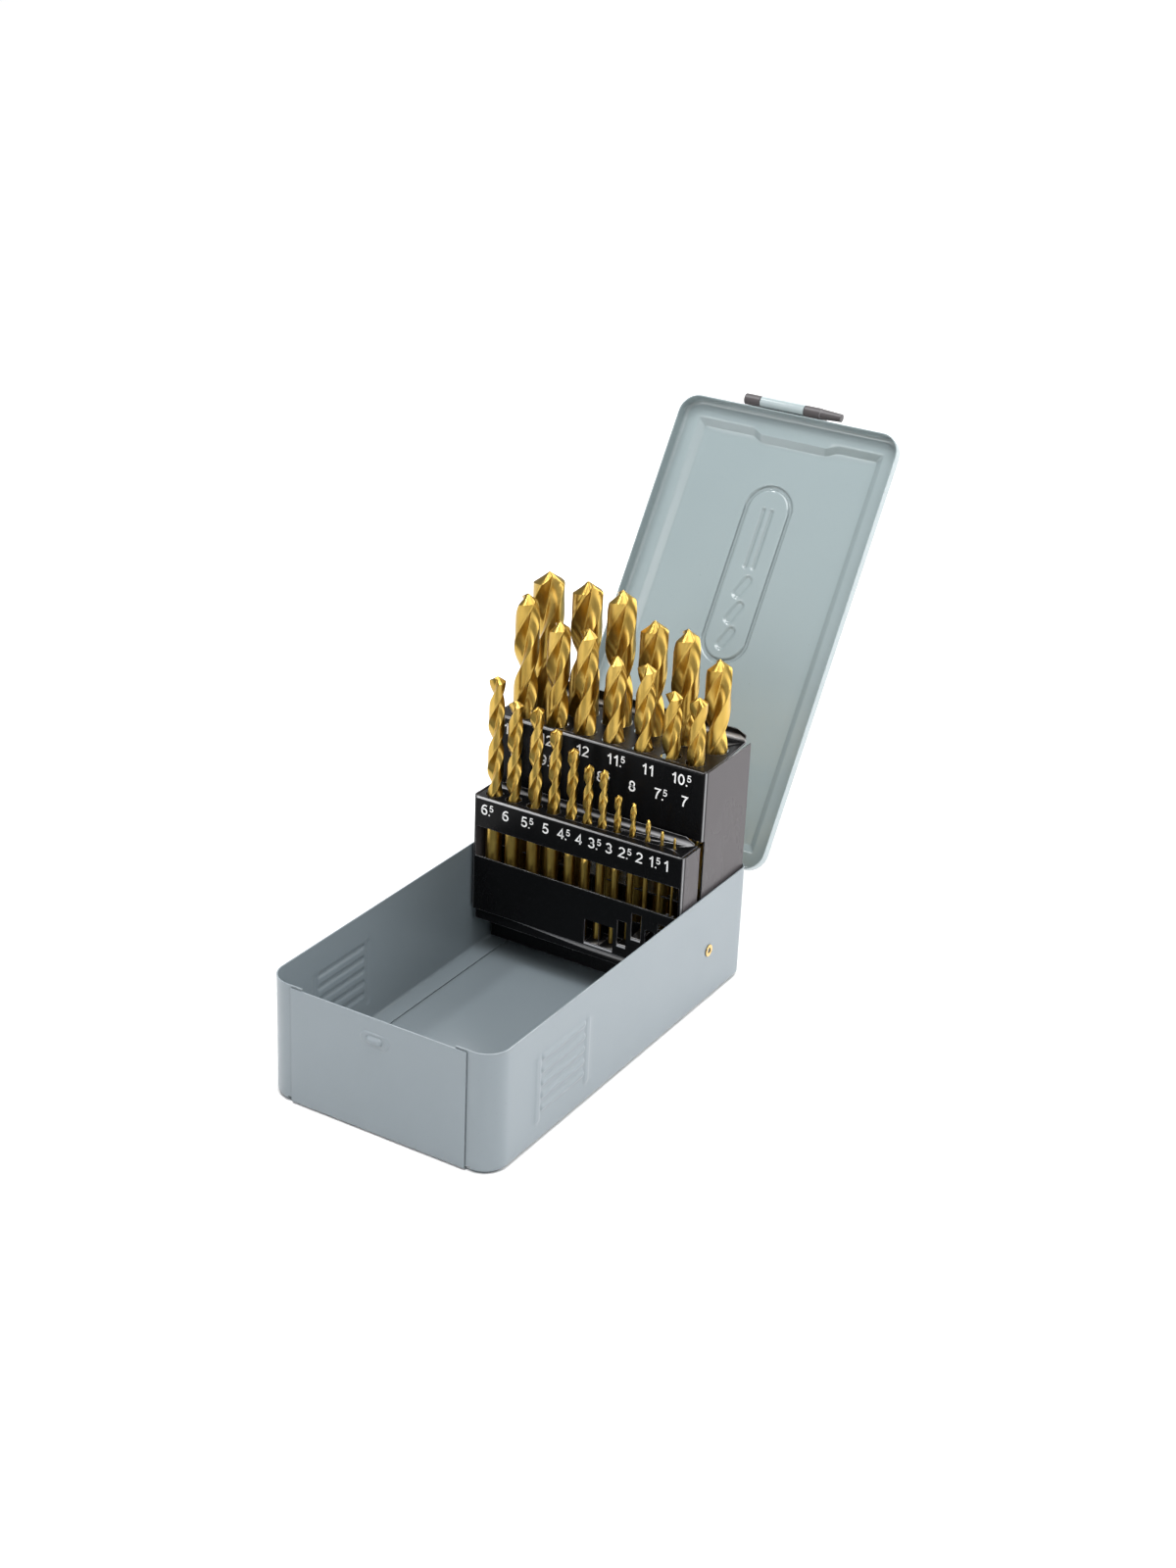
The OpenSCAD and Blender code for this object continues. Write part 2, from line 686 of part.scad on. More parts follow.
module rack_flange(y, w, low, high) {
    translate([0, y, 0]) rotate([90, 0, 0]) linear_extrude(rack_sheet) rear_flange_outline(w, low, high);
}

module rack_top_bend(y, z, w) {
    along_x(-w / 2, w) translate([y + fold_bend_r, z - fold_bend_r])
        mirror([0, 1]) quarter_ring(fold_bend_r, rack_sheet);
}

module stop_tab(i) {
    left = drill_x(i) - slot_left_shares[i] * rack_in_w / 2;
    right = drill_x(i) + slot_right_shares[i] * rack_in_w / 2;
    fold_share = i < 2 ? slot_high_shares[i] : slot_low_shares[i];
    fold_z = front_rack_low + fold_share * lower_plate_h;
    tip_y = drill_y(i) + drill_d(i) / 2 + rack_sheet;
    along_x(left, right - left) polygon([
        [front_plate_y, fold_z], [tip_y, stop_z(i)],
        [tip_y, stop_z(i) - rack_sheet], [front_plate_y, fold_z - rack_sheet]
    ]);
}

module slot_cut(i) {
    left = drill_x(i) - slot_left_shares[i] * rack_in_w / 2;
    right = drill_x(i) + slot_right_shares[i] * rack_in_w / 2;
    low = front_rack_low + slot_low_shares[i] * lower_plate_h;
    high = front_rack_low + slot_high_shares[i] * lower_plate_h;
    translate([left, front_plate_y - cut, low]) cube([right - left, rack_sheet + 2 * cut, high - low]);
}

module front_rack() {
    plate_w = rack_w - 2 * rack_bend_r;
    color("dimgray") in_case() {
        difference() {
            intersection() {
                rack_wrap(front_plate_y, front_flange_y - rack_sheet);
                translate([-rack_w / 2, front_plate_y, front_rack_low])
                    cube([rack_w, front_rack_depth, front_rack_top - front_rack_low]);
            }
            translate([-plate_w / 2, front_plate_y - cut, front_window_low])
                cube([plate_w, rack_bend_r + cut, front_window_h]);
            translate([-plate_w / 2, front_plate_y - cut, front_rack_top - fold_bend_r])
                cube([plate_w, rack_bend_r + cut, fold_bend_r + cut]);
            for (i = [0:len(seat_shares) - 1]) slot_cut(i);
        }
        rack_top_bend(front_plate_y, front_rack_top, plate_w);
        translate([0, 0, front_rack_top - rack_sheet]) difference() {
            translate([-plate_w / 2, front_plate_y + fold_bend_r, 0])
                cube([plate_w, front_rack_depth - fold_bend_r, rack_sheet]);
            drill_holes(0, front_row_count - 1, 0);
        }
        rack_flange(front_flange_y, front_flange_w, front_rack_top - rack_sheet,
            front_rack_top + front_flange_h);
        for (i = [0:len(seat_shares) - 1]) stop_tab(i);
    }
}

module front_rack_floor() {
    front = front_plate_y + rack_sheet + lap_gap;
    color("dimgray") in_case() along_x(-tray_w / 2, tray_w) {
        translate([front, front_floor_z - rack_sheet]) square([lip_y - lap_gap - front, rack_sheet]);
        translate([lip_y - lap_gap - rack_sheet, front_floor_z - rack_sheet])
            square([rack_sheet, tray_flange_h]);
        translate([front, front_floor_z - tray_flange_h / 2])
            square([rack_sheet, tray_flange_h / 2]);
    }
}

// Side view of the rear rack: the legs end below in the circle that they swing on
module rear_leg_outline() {
    leg_d = rear_rack_end - rear_leg_y;
    translate([rear_rack_from_front, rear_leg_top])
        square([rear_rack_end - rear_rack_from_front, rear_plate_h]);
    translate([rear_leg_y, pivot_z]) square([leg_d, rear_leg_top - pivot_z]);
    intersection() {
        translate([rear_leg_y, leg_low]) square([leg_d, pivot_z - leg_low]);
        translate([pivot_from_front, pivot_z]) circle(leg_sweep_r);
    }
}

module rear_rack() {
    plate_w = rack_w - 2 * rack_bend_r;
    top_w = rack_in_w - 2 * rack_top_gap;
    color("dimgray") in_case() difference() {
        union() {
            difference() {
                intersection() {
                    rack_wrap(rear_rack_from_front, rear_rack_end);
                    along_x(-rack_w / 2 - cut, rack_w + 2 * cut) rear_leg_outline();
                }
                translate([-plate_w / 2, rear_rack_from_front - cut, rear_rack_top - fold_bend_r])
                    cube([plate_w, rack_bend_r + cut, fold_bend_r + cut]);
            }
            rack_top_bend(rear_rack_from_front, rear_rack_top, plate_w);
            translate([0, 0, rear_rack_top - rack_sheet]) linear_extrude(rack_sheet) polygon([
                [-plate_w / 2, rear_rack_from_front + fold_bend_r],
                [plate_w / 2, rear_rack_from_front + fold_bend_r],
                [top_w / 2, rear_rack_from_front + rack_bend_r],
                [top_w / 2, top_notch_from_front],
                [rear_flange_w / 2, rear_rack_end],
                [-rear_flange_w / 2, rear_rack_end],
                [-top_w / 2, top_notch_from_front],
                [-top_w / 2, rear_rack_from_front + rack_bend_r]
            ]);
            rack_flange(rear_rack_end, rear_flange_w, rear_rack_top - rack_sheet,
                rear_rack_top + rear_flange_h);
        }
        drill_holes(front_row_count, len(place_shares) - 1, rear_rack_top - rack_sheet);
        along_x(-rack_w / 2 - cut, rack_w + 2 * cut)
            translate([pivot_from_front, pivot_z]) circle(eyelet_r + pin_gap);
    }
}

module shank_guide() {
    w = rack_in_w - 2 * lap_gap;
    color("dimgray") in_case() {
        translate([0, 0, guide_z - rack_sheet]) difference() {
            translate([-w / 2, guide_front_y, 0]) cube([w, guide_rear_y - guide_front_y, rack_sheet]);
            drill_holes(front_row_count, len(place_shares) - 1, 0);
        }
        for (side = [0, 1]) mirror([side, 0, 0])
            translate([w / 2 - rack_sheet, guide_front_y, guide_z - guide_flange_h])
                cube([rack_sheet, guide_rear_y - guide_front_y, guide_flange_h]);
    }
}

module shank_tray() {
    t = rack_sheet;
    flange_x = rack_in_w / 2 - lap_gap - t;
    color("dimgray") in_case() {
        along_x(-tray_w / 2, tray_w) {
            translate([lip_y, lip_low]) square([t, middle_floor_z - lip_low]);
            translate([lip_y, middle_floor_z - t]) square([step_y - lip_y, t]);
            translate([step_y - t, rear_floor_z - t]) square([t, middle_floor_z - rear_floor_z + t]);
            translate([step_y - t, rear_floor_z - t]) square([tray_rear_y - step_y + t, t]);
        }
        for (side = [0, 1]) mirror([side, 0, 0]) {
            translate([tray_w / 2 - cut, tray_flange_front_y, rear_floor_z - t])
                cube([flange_x + t + cut - tray_w / 2, tray_flange_rear_y - tray_flange_front_y, t]);
            translate([flange_x, tray_flange_front_y, rear_floor_z - t])
                cube([t, tray_flange_rear_y - tray_flange_front_y, tray_flange_h]);
        }
    }
}

// Eyelet through the wall and the stand's leg, on the right side
module eyelet_solid() {
    outer = base_w / 2;
    inner = rack_in_w / 2 - side_gap;
    translate([0, pivot_from_front, pivot_z]) rotate([0, 90, 0]) difference() {
        union() {
            translate([0, 0, outer + lap_gap]) cylinder(d = eyelet_flange_d, h = eyelet_flange_t);
            translate([0, 0, inner - eyelet_flange_t])
                cylinder(r = eyelet_r, h = outer - inner + 2 * eyelet_flange_t);
            translate([0, 0, inner - eyelet_flange_t]) cylinder(d = eyelet_flange_d, h = eyelet_flange_t);
        }
        translate([0, 0, inner - eyelet_flange_t - cut])
            cylinder(d = eyelet_hole_d, h = outer - inner + 2 * (eyelet_flange_t + cut));
    }
}

module pivot_eyelet_left() {
    color("goldenrod") in_case() mirror([1, 0, 0]) eyelet_solid();
}

module pivot_eyelet_right() {
    color("goldenrod") in_case() eyelet_solid();
}

module washer_solid() {
    translate([washer_x, pivot_from_front, pivot_z]) rotate([0, 90, 0]) difference() {
        cylinder(d = washer_d, h = washer_t);
        translate([0, 0, -cut]) cylinder(r = eyelet_r + pin_gap, h = washer_t + 2 * cut);
    }
}

module pivot_washer_left() {
    color("silver") in_case() mirror([1, 0, 0]) washer_solid();
}

module pivot_washer_right() {
    color("silver") in_case() washer_solid();
}

function section(i) = i < small_section_count ? small_section_shares : section_shares;

// One ring of the fluted part: its points lie on the drill's cross-section, and the last
// ring's points lie on the cone of the point, whose apex is at the given height
function flute_ring(shares, r, z, apex, lead) = let (n = 2 * len(shares)) [
    for (j = [0:n - 1])
        let (
            s = r * shares[j % len(shares)],
            h = apex > 0 ? apex - s / tan(point_angle / 2) : z,
            a = 360 * (j / n + h / lead)
        )
        [s * cos(a), s * sin(a), h]
];

// Two flutes wound round the axis, up to the cone of the point
module fluted_part(i) {
    d = drill_d(i);
    shares = section(i);
    n = 2 * len(shares);
    length = flute_l(i) + shank_overlap;
    point_h = d / 2 / tan(point_angle / 2);
    lead = PI * d / tan(helix_angle);
    straight = length - point_h;
    rings = ceil(straight / lead * turn_ring_count);
    points = concat(
        [for (k = [0:rings])
            each flute_ring(shares, d / 2, straight * k / rings, k < rings ? 0 : length, lead)],
        [[0, 0, 0], [0, 0, length]]
    );
    foot = n * (rings + 1);
    faces = concat(
        [for (k = [0:rings - 1]) for (j = [0:n - 1]) [k * n + j, k * n + (j + 1) % n + n, k * n + (j + 1) % n]],
        [for (k = [0:rings - 1]) for (j = [0:n - 1]) [k * n + j, k * n + j + n, k * n + (j + 1) % n + n]],
        [for (j = [0:n - 1]) [foot, j, (j + 1) % n]],
        [for (j = [0:n - 1]) [foot + 1, rings * n + (j + 1) % n, rings * n + j]]
    );
    polyhedron(points, faces);
}

module drill(i) {
    shank = drill_l(i) - flute_l(i);
    color("goldenrod") in_case() translate([drill_x(i), drill_y(i), seat_z(i) + seat_gap]) {
        cylinder(d = drill_d(i), h = shank);
        translate([0, 0, shank - shank_overlap]) fluted_part(i);
    }
}

base_tray();
side_wall_left();
side_wall_right();
rear_hinge_leaf();
rear_hinge_pin();
lid_shell();
latch_pin();
latch_clip();
front_rack();
front_rack_floor();
rear_rack();
shank_guide();
shank_tray();
pivot_eyelet_left();
pivot_eyelet_right();
pivot_washer_left();
pivot_washer_right();
for (i = [0:len(place_shares) - 1])
    drill(i);
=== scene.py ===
"""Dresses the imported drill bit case: pressed enamelled sheets, a black stand and gold-coated twist drills."""

import json
import logging
import math
from collections.abc import Iterable, Iterator, Sequence
from contextlib import contextmanager
from dataclasses import dataclass, field
from enum import Enum
from math import cos, pi, radians, sin
from typing import Any

import bmesh
import bpy
import numpy as np
from mathutils import Matrix, Vector

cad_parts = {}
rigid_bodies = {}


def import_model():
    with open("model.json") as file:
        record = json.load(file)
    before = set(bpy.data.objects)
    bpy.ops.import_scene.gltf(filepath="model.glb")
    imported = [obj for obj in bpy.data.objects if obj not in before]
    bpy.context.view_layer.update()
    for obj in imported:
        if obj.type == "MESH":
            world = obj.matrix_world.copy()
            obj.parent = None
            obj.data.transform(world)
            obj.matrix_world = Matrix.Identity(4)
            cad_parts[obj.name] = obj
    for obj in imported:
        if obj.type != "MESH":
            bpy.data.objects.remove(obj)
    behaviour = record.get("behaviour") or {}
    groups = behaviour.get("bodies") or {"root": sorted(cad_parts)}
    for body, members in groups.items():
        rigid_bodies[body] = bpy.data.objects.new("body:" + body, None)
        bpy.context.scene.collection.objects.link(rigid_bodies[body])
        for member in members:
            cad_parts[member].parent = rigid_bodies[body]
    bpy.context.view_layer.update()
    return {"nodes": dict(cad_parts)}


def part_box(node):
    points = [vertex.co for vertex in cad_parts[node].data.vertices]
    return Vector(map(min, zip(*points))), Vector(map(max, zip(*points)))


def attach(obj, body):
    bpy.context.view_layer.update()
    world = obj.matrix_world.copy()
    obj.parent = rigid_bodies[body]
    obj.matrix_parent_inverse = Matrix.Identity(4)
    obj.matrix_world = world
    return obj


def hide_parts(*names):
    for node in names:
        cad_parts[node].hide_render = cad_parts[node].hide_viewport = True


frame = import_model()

log = logging.getLogger("drill_case")

MM = 0.001
FRONT_TO_ORIGIN = 92.0
DOUBLE_GAP = 2e-6
SHARP_ANGLE = 32.0
# Gap between a coarse and a fine span of grid lines
SPAN_GAP = 0.2

Pair = tuple[float, float]
Triple = tuple[float, float, float]
Face = tuple[int, ...]
Piece = bpy.types.Object
Socket = bpy.types.NodeSocket
Material = bpy.types.Material


class CaseBody(Enum):
    """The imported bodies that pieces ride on."""

    CASE = "case"
    STAND = "stand"
    LID = "lid"
    CLIP = "clip"


class PaintSlot(Enum):
    """The record's material slots, and the print that has none of its own."""

    CASE = "case_paint"
    LID = "lid_paint"
    RACK = "rack_black"
    CLIP = "clip_black"
    DRILL = "drill_gold"
    PIN = "pin_steel"
    EYELET = "eyelet_brass"
    PRINT = "print_white"


# Meshes


def grid_faces(rows: int, cols: int, first: int = 0) -> list[Face]:
    """Quads of a grid of points stored row by row.

    Args:
        rows: Number of rows of points.
        cols: Number of points in a row.
        first: Index of the grid's first point.

    Returns:
        Four point indices for each quad.
    """
    corners = (0, 1, cols + 1, cols)
    starts = [first + r * cols + c for r in range(rows - 1) for c in range(cols - 1)]
    return [tuple(start + corner for corner in corners) for start in starts]


def ring_faces(rings: int, count: int, wraps: bool = False) -> list[Face]:
    """Quads between closed rings of points stored ring by ring.

    Args:
        rings: Number of rings.
        count: Number of points in a ring.
        wraps: Whether the last ring joins the first.

    Returns:
        Four point indices for each quad.
    """
    faces: list[Face] = []
    for k in range(rings if wraps else rings - 1):
        low, high = k * count, (k + 1) % rings * count
        faces += [(low + i, low + (i + 1) % count, high + (i + 1) % count, high + i) for i in range(count)]
    return faces


def prism_faces(count: int) -> list[Face]:
    """Faces of a prism whose two outlines of so many points are stored one after the other."""
    ends = [tuple(range(count - 1, -1, -1)), tuple(range(count, 2 * count))]
    return ring_faces(2, count) + ends


def case_frame(points: Any) -> np.ndarray:
    """Turns millimetres from the front face into metres in the object's frame.

    Args:
        points: Rows of x, y and z.

    Returns:
        The same rows in metres.
    """
    out = np.array(points, float).reshape(-1, 3)
    out[:, 1] -= FRONT_TO_ORIGIN
    return out * MM


def placed(name: str, data: bpy.types.ID) -> Piece:
    """Makes an object and links it to the scene.

    Args:
        name: The object's name.
        data: Its mesh, light or camera.

    Returns:
        The new object.
    """
    obj = bpy.data.objects.new(name, data)
    bpy.context.scene.collection.objects.link(obj)
    return obj


@contextmanager
def edited(mesh: bpy.types.Mesh) -> Iterator[bmesh.types.BMesh]:
    """Opens a mesh for editing and writes it back.

    Args:
        mesh: The mesh.

    Yields:
        Its editable form.
    """
    build = bmesh.new()
    build.from_mesh(mesh)
    yield build
    build.to_mesh(mesh)
    build.free()


def mesh_object(name: str, points: np.ndarray, faces: Sequence[Face], facing: Vector | None = None) -> Piece:
    """Makes a mesh object with merged doubles and faces that point one way.

    Args:
        name: The object's name.
        points: Its points in metres.
        faces: Its faces as point indices.
        facing: Side that an open sheet's faces point to; a closed shape needs none.

    Returns:
        The new object, linked to the scene.
    """
    mesh = bpy.data.meshes.new(name)
    mesh.from_pydata([tuple(p) for p in points], [], faces)
    with edited(mesh) as build:
        bmesh.ops.remove_doubles(build, verts=build.verts, dist=DOUBLE_GAP)
        bmesh.ops.dissolve_degenerate(build, edges=build.edges, dist=DOUBLE_GAP / 2)
        bmesh.ops.recalc_face_normals(build, faces=build.faces)
        total = sum((face.normal * face.calc_area() for face in build.faces), Vector())
        if facing is not None and total.dot(facing) < 0:
            bmesh.ops.reverse_faces(build, faces=build.faces)
    return placed(name, mesh)


def shade_by_angle(obj: Piece, degrees: float) -> None:
    """Smooth shading, with sharp edges where the surface turns by more than an angle."""
    obj.data.polygons.foreach_set("use_smooth", [True] * len(obj.data.polygons))
    obj.data.set_sharp_from_angle(angle=radians(degrees))


def settle_modifiers(obj: Piece) -> None:
    """Replaces an object's mesh by the result of its modifiers and removes them.

    Args:
        obj: The object.
    """
    evaluated = obj.evaluated_get(bpy.context.evaluated_depsgraph_get())
    mesh = bpy.data.meshes.new_from_object(evaluated)
    obj.modifiers.clear()
    obj.data = mesh


def sheet_object(
    name: str, points: np.ndarray, faces: Sequence[Face], facing: Vector, thickness: float
) -> Piece:
    """Makes a sheet from its outer face, with its thickness inwards.

    Args:
        name: The sheet's name.
        points: The outer face's points in metres.
        faces: Its faces as point indices.
        facing: Side that the outer face points to.
        thickness: The sheet's thickness in millimetres.

    Returns:
        The sheet.
    """
    obj = mesh_object(name, points, faces, facing)
    wall = obj.modifiers.new("Sheet", "SOLIDIFY")
    wall.thickness, wall.offset, wall.use_even_offset = thickness * MM, -1.0, True
    settle_modifiers(obj)
    return obj


def joined(name: str, parts: Iterable[Piece]) -> Piece:
    """Joins mesh objects into one.

    Args:
        name: Name of the joined object.
        parts: The objects to join, which are removed.

    Returns:
        The joined object.
    """
    mesh = bpy.data.meshes.new(name)
    with edited(mesh) as build:
        for part in parts:
            old = part.data
            build.from_mesh(old)
            bpy.data.objects.remove(part)
            bpy.data.meshes.remove(old)
    return placed(name, mesh)


def mirrored_copy(obj: Piece, name: str) -> Piece:
    """A copy of an object mirrored across the middle of the case, with its faces outwards.

    Args:
        obj: The object.
        name: The copy's name.

    Returns:
        The copy.
    """
    mesh = obj.data.copy()
    mesh.transform(Matrix.Scale(-1, 4, Vector((1, 0, 0))))
    mesh.flip_normals()
    return placed(name, mesh)


def bar_along_x(outline: Sequence[Pair], x0: float, x1: float) -> tuple[np.ndarray, list[Face]]:
    """Points and faces of a closed (y, z) outline drawn out along X, all in millimetres."""
    points = [(x, y, z) for x in (x0, x1) for y, z in outline]
    return np.array(points), prism_faces(len(outline))


def arc(cx: float, cz: float, rx: float, rz: float, start: float, end: float, steps: int = 14) -> list[Pair]:
    """Points along an ellipse's arc, with its angles in degrees."""
    angles = np.radians(np.linspace(start, end, steps))
    return [(cx + rx * cos(a), cz + rz * sin(a)) for a in angles]


def segment_distance(p: np.ndarray, q: np.ndarray, a: Pair, b: Pair) -> np.ndarray:
    """Distance of points from a segment.

    Args:
        p: First coordinates of the points.
        q: Their second coordinates.
        a: The segment's start.
        b: Its end.

    Returns:
        One distance for each point.
    """
    ab = np.array(b) - np.array(a)
    length = float(ab @ ab) or 1.0
    t = np.clip(((p - a[0]) * ab[0] + (q - a[1]) * ab[1]) / length, 0, 1)
    return np.hypot(p - a[0] - t * ab[0], q - a[1] - t * ab[1])


def pressed(distance: np.ndarray, half_width: float, height: float, flat_share: float) -> np.ndarray:
    """Height of a pressed bead at a distance from its middle line, flat over a share of its width."""
    t = np.clip((distance / half_width - flat_share) / (1 - flat_share), 0, 1)
    return height * (0.5 + 0.5 * np.cos(np.pi * t))


def step_up(value: Any, start: float, end: float) -> Any:
    """Smooth step from 0 at start to 1 at end."""
    t = np.clip((value - start) / (end - start), 0, 1)
    return t * t * (3 - 2 * t)


def toned(colour: Triple, factor: float, lift: float = 0.0) -> Triple:
    """A linear colour made darker or brighter."""
    return tuple(min(1.0, c * factor + lift) for c in colour)


# Materials


class NodeSheet:
    """A material's or geometry tree's nodes, added one after another."""

    def __init__(self, tree: bpy.types.NodeTree) -> None:
        """Starts on a tree."""
        self.tree = tree

    def feed(self, entry: Socket, value: Any) -> None:
        """Links a socket to a node's input, or sets the input to a plain value."""
        if isinstance(value, Socket):
            self.tree.links.new(value, entry)
        else:
            entry.default_value = value

    def add(self, kind: str, inputs: dict[Any, Any] | None = None, **settings: Any) -> bpy.types.Node:
        """Adds a node.

        Args:
            kind: The node's type name.
            inputs: Values or sockets by input name or number.
            settings: The node's own settings.

        Returns:
            The new node.
        """
        node = self.tree.nodes.new(kind)
        for key, value in settings.items():
            setattr(node, key, value)
        for key, value in (inputs or {}).items():
            self.feed(node.inputs[key], value)
        return node

    def math(self, operation: str, *values: Any) -> Socket:
        """Adds a Math node and gives its output."""
        return self.add("ShaderNodeMath", dict(enumerate(values)), operation=operation).outputs[0]

    def mul(self, a: Any, b: Any) -> Socket:
        """Product of two values."""
        return self.math("MULTIPLY", a, b)

    def plus(self, a: Any, b: Any) -> Socket:
        """Sum of two values."""
        return self.math("ADD", a, b)

    def minus(self, a: Any, b: Any) -> Socket:
        """First value less the second."""
        return self.math("SUBTRACT", a, b)

    def remap(
        self, value: Any, low: Any, high: Any, to_low: Any, to_high: Any, kind: str = "LINEAR"
    ) -> Socket:
        """Adds a clamped Map Range node and gives its output."""
        inputs = dict(enumerate((value, low, high, to_low, to_high)))
        return self.add("ShaderNodeMapRange", inputs, interpolation_type=kind).outputs[0]


class FinishSheet(NodeSheet):
    """The nodes of one finish, with the patterns that several finishes share."""

    EVEN = (1, 1, 1)

    def __init__(self, name: str) -> None:
        """Starts an empty material with a Principled shader.

        Args:
            name: The material's name.
        """
        self.material = bpy.data.materials.new(name)
        self.material.use_nodes = True
        super().__init__(self.material.node_tree)
        self.tree.nodes.clear()
        self.coordinates = self.add("ShaderNodeTexCoord").outputs
        self.shader = self.add("ShaderNodeBsdfPrincipled")
        self.add("ShaderNodeOutputMaterial", {"Surface": self.shader.outputs[0]})

    def wire(self, key: str, value: Any) -> None:
        """Sets or links one of the shader's inputs."""
        self.feed(self.shader.inputs[key], value)

    def noise(self, scale: float, detail: float, stretch: Triple = EVEN, seed: float = 0.0) -> Socket:
        """A noise pattern on the piece's own coordinates.

        Args:
            scale: How fine it is.
            detail: How many finer layers it has.
            stretch: Its scale along X, Y and Z.
            seed: Where in the pattern the piece lies.

        Returns:
            The pattern's value, from 0 to 1.
        """
        place = self.coordinates["Object"]
        if seed or stretch != self.EVEN:
            moved = {"Vector": place, "Scale": stretch, "Location": (seed, seed, seed)}
            place = self.add("ShaderNodeMapping", moved).outputs[0]
        return self.add("ShaderNodeTexNoise", {"Vector": place, "Scale": scale, "Detail": detail}).outputs[0]

    def blend(self, share: Any, a: Any, b: Any) -> Socket:
        """Mixes two colours, given as linear triples or sockets.

        Args:
            share: Share of the second colour.
            a: The first colour.
            b: The second colour.

        Returns:
            The mixed colour.
        """
        node = self.add("ShaderNodeMix", data_type="RGBA")
        for index, value in ((0, share), (6, a), (7, b)):
            self.feed(node.inputs[index], (*value, 1.0) if isinstance(value, tuple) else value)
        return node.outputs[2]

    def bump(self, height: Any, distance: float, strength: float, normal: Socket | None = None) -> Socket:
        """A bumped normal from a height pattern, with its depth in metres."""
        inputs = {"Height": height, "Distance": distance, "Strength": strength, "Normal": normal}
        return self.add("ShaderNodeBump", {k: v for k, v in inputs.items() if v is not None}).outputs[0]

    def rounded(self, radius: float) -> Socket:
        """A normal that rounds edges off by a radius in metres."""
        return self.add("ShaderNodeBevel", {"Radius": radius}, samples=4).outputs[0]

    def turned(self) -> Sequence[Socket]:
        """How far the surface faces along X, Y and Z, each from 0 to 1."""
        size = self.add("ShaderNodeVectorMath", {0: self.coordinates["Normal"]}, operation="ABSOLUTE")
        return self.add("ShaderNodeSeparateXYZ", {0: size.outputs[0]}).outputs

    def folds(self) -> Socket:
        """Share that is 1 on folded corners, which get a painted highlight, and 0 on flat plates."""
        x, y, z = self.turned()
        return self.remap(self.math("MAXIMUM", self.math("MAXIMUM", x, y), z), 0.74, 0.90, 1.0, 0.0)

    def sideways(self) -> Socket:
        """Share that is 1 on faces across X, which the finishes paint lighter as a painted sheen."""
        return self.remap(self.turned()[0], 0.90, 0.99, 0.0, 1.0)

    def crevices(self, distance: float) -> Socket:
        """Share that is 1 deep in seams and folds and 0 in the open, from ambient occlusion, for the painted
        shade laid there.
        """
        open_share = self.add("ShaderNodeAmbientOcclusion", {"Distance": distance}, samples=6).outputs["AO"]
        return self.remap(open_share, 0.35, 0.92, 1.0, 0.0)

    def along_z(self) -> Socket:
        """The piece's own Z direction, across the grinding lines of a turned piece."""
        spaces = {"vector_type": "VECTOR", "convert_from": "OBJECT", "convert_to": "WORLD"}
        return self.add("ShaderNodeVectorTransform", {"Vector": (0, 0, 1)}, **spaces).outputs[0]

    def edges(self, rounded: Socket) -> Socket:
        """Share that is 1 on edges, where the finishes lay both wear and a painted highlight, and 0 on open
        faces.

        Args:
            rounded: The normal with its edges rounded off.

        Returns:
            The share.
        """
        pair = {0: rounded, 1: self.add("ShaderNodeNewGeometry").outputs["Normal"]}
        dot = self.add("ShaderNodeVectorMath", pair, operation="DOT_PRODUCT").outputs["Value"]
        return self.remap(dot, 0.75, 0.99, 1.0, 0.0)


@dataclass(frozen=True)
class CaseEnamel:
    """Grey-blue stoved enamel over thin sheet steel."""

    name: str
    colour: Triple
    shade: Triple
    roughness: float = 0.36
    coat: float = 0.25
    edge_radius: float = 0.0003
    # Strength, reach and darkness of the painted shade laid in seams and folds
    dust: float = 0.62
    dust_reach: float = 0.0016
    dust_tone: float = 0.22
    speck_tone: float = 0.55
    # How much paler the edges are painted, partly as wear and partly as a painted highlight
    edge_tone: float = 1.35
    edge_lift: float = 0.06
    wave_depth: float = 0.0006
    peel_depth: float = 0.000012

    def build(self) -> Material:
        """Builds the material: cloudy colour, painted shade in seams and folds, paler edges that are partly
        wear and partly painted highlight, specks, orange peel and a slight sheet wave.

        Returns:
            The material.
        """
        s = FinishSheet(self.name)
        cloud = s.remap(s.noise(16, 4), 0.3, 0.7, 0.0, 1.0)
        colour = s.blend(cloud, self.colour, self.shade)
        speck = s.remap(s.noise(1500, 2, seed=3.0), 0.70, 0.76, 0.0, 0.35)
        colour = s.blend(speck, colour, toned(self.shade, self.speck_tone))
        # Painted shade: the colour darkens towards a deep tone in seams and folds
        deep = s.mul(s.crevices(self.dust_reach), self.dust)
        colour = s.blend(deep, colour, toned(self.shade, self.dust_tone))
        rounded = s.rounded(self.edge_radius)
        # Paler edges: partly wear, partly a painted highlight along the rims
        wear_and_highlight = s.mul(s.edges(rounded), s.remap(s.noise(90, 4, seed=5.0), 0.35, 0.65, 0.25, 0.75))
        s.wire("Base Color", s.blend(wear_and_highlight, colour, toned(self.colour, self.edge_tone, self.edge_lift)))
        smear = s.noise(25, 2, seed=11.0)
        s.wire("Roughness", s.remap(smear, 0.2, 0.8, self.roughness - 0.03, self.roughness + 0.05))
        s.wire("Specular IOR Level", 0.5)
        s.wire("Coat Weight", self.coat)
        s.wire("Coat Roughness", 0.20)
        wave = s.bump(s.noise(14, 1, seed=2.0), self.wave_depth, 0.25, rounded)
        s.wire("Normal", s.bump(s.noise(900, 2), self.peel_depth, 0.6, wave))
        return s.material


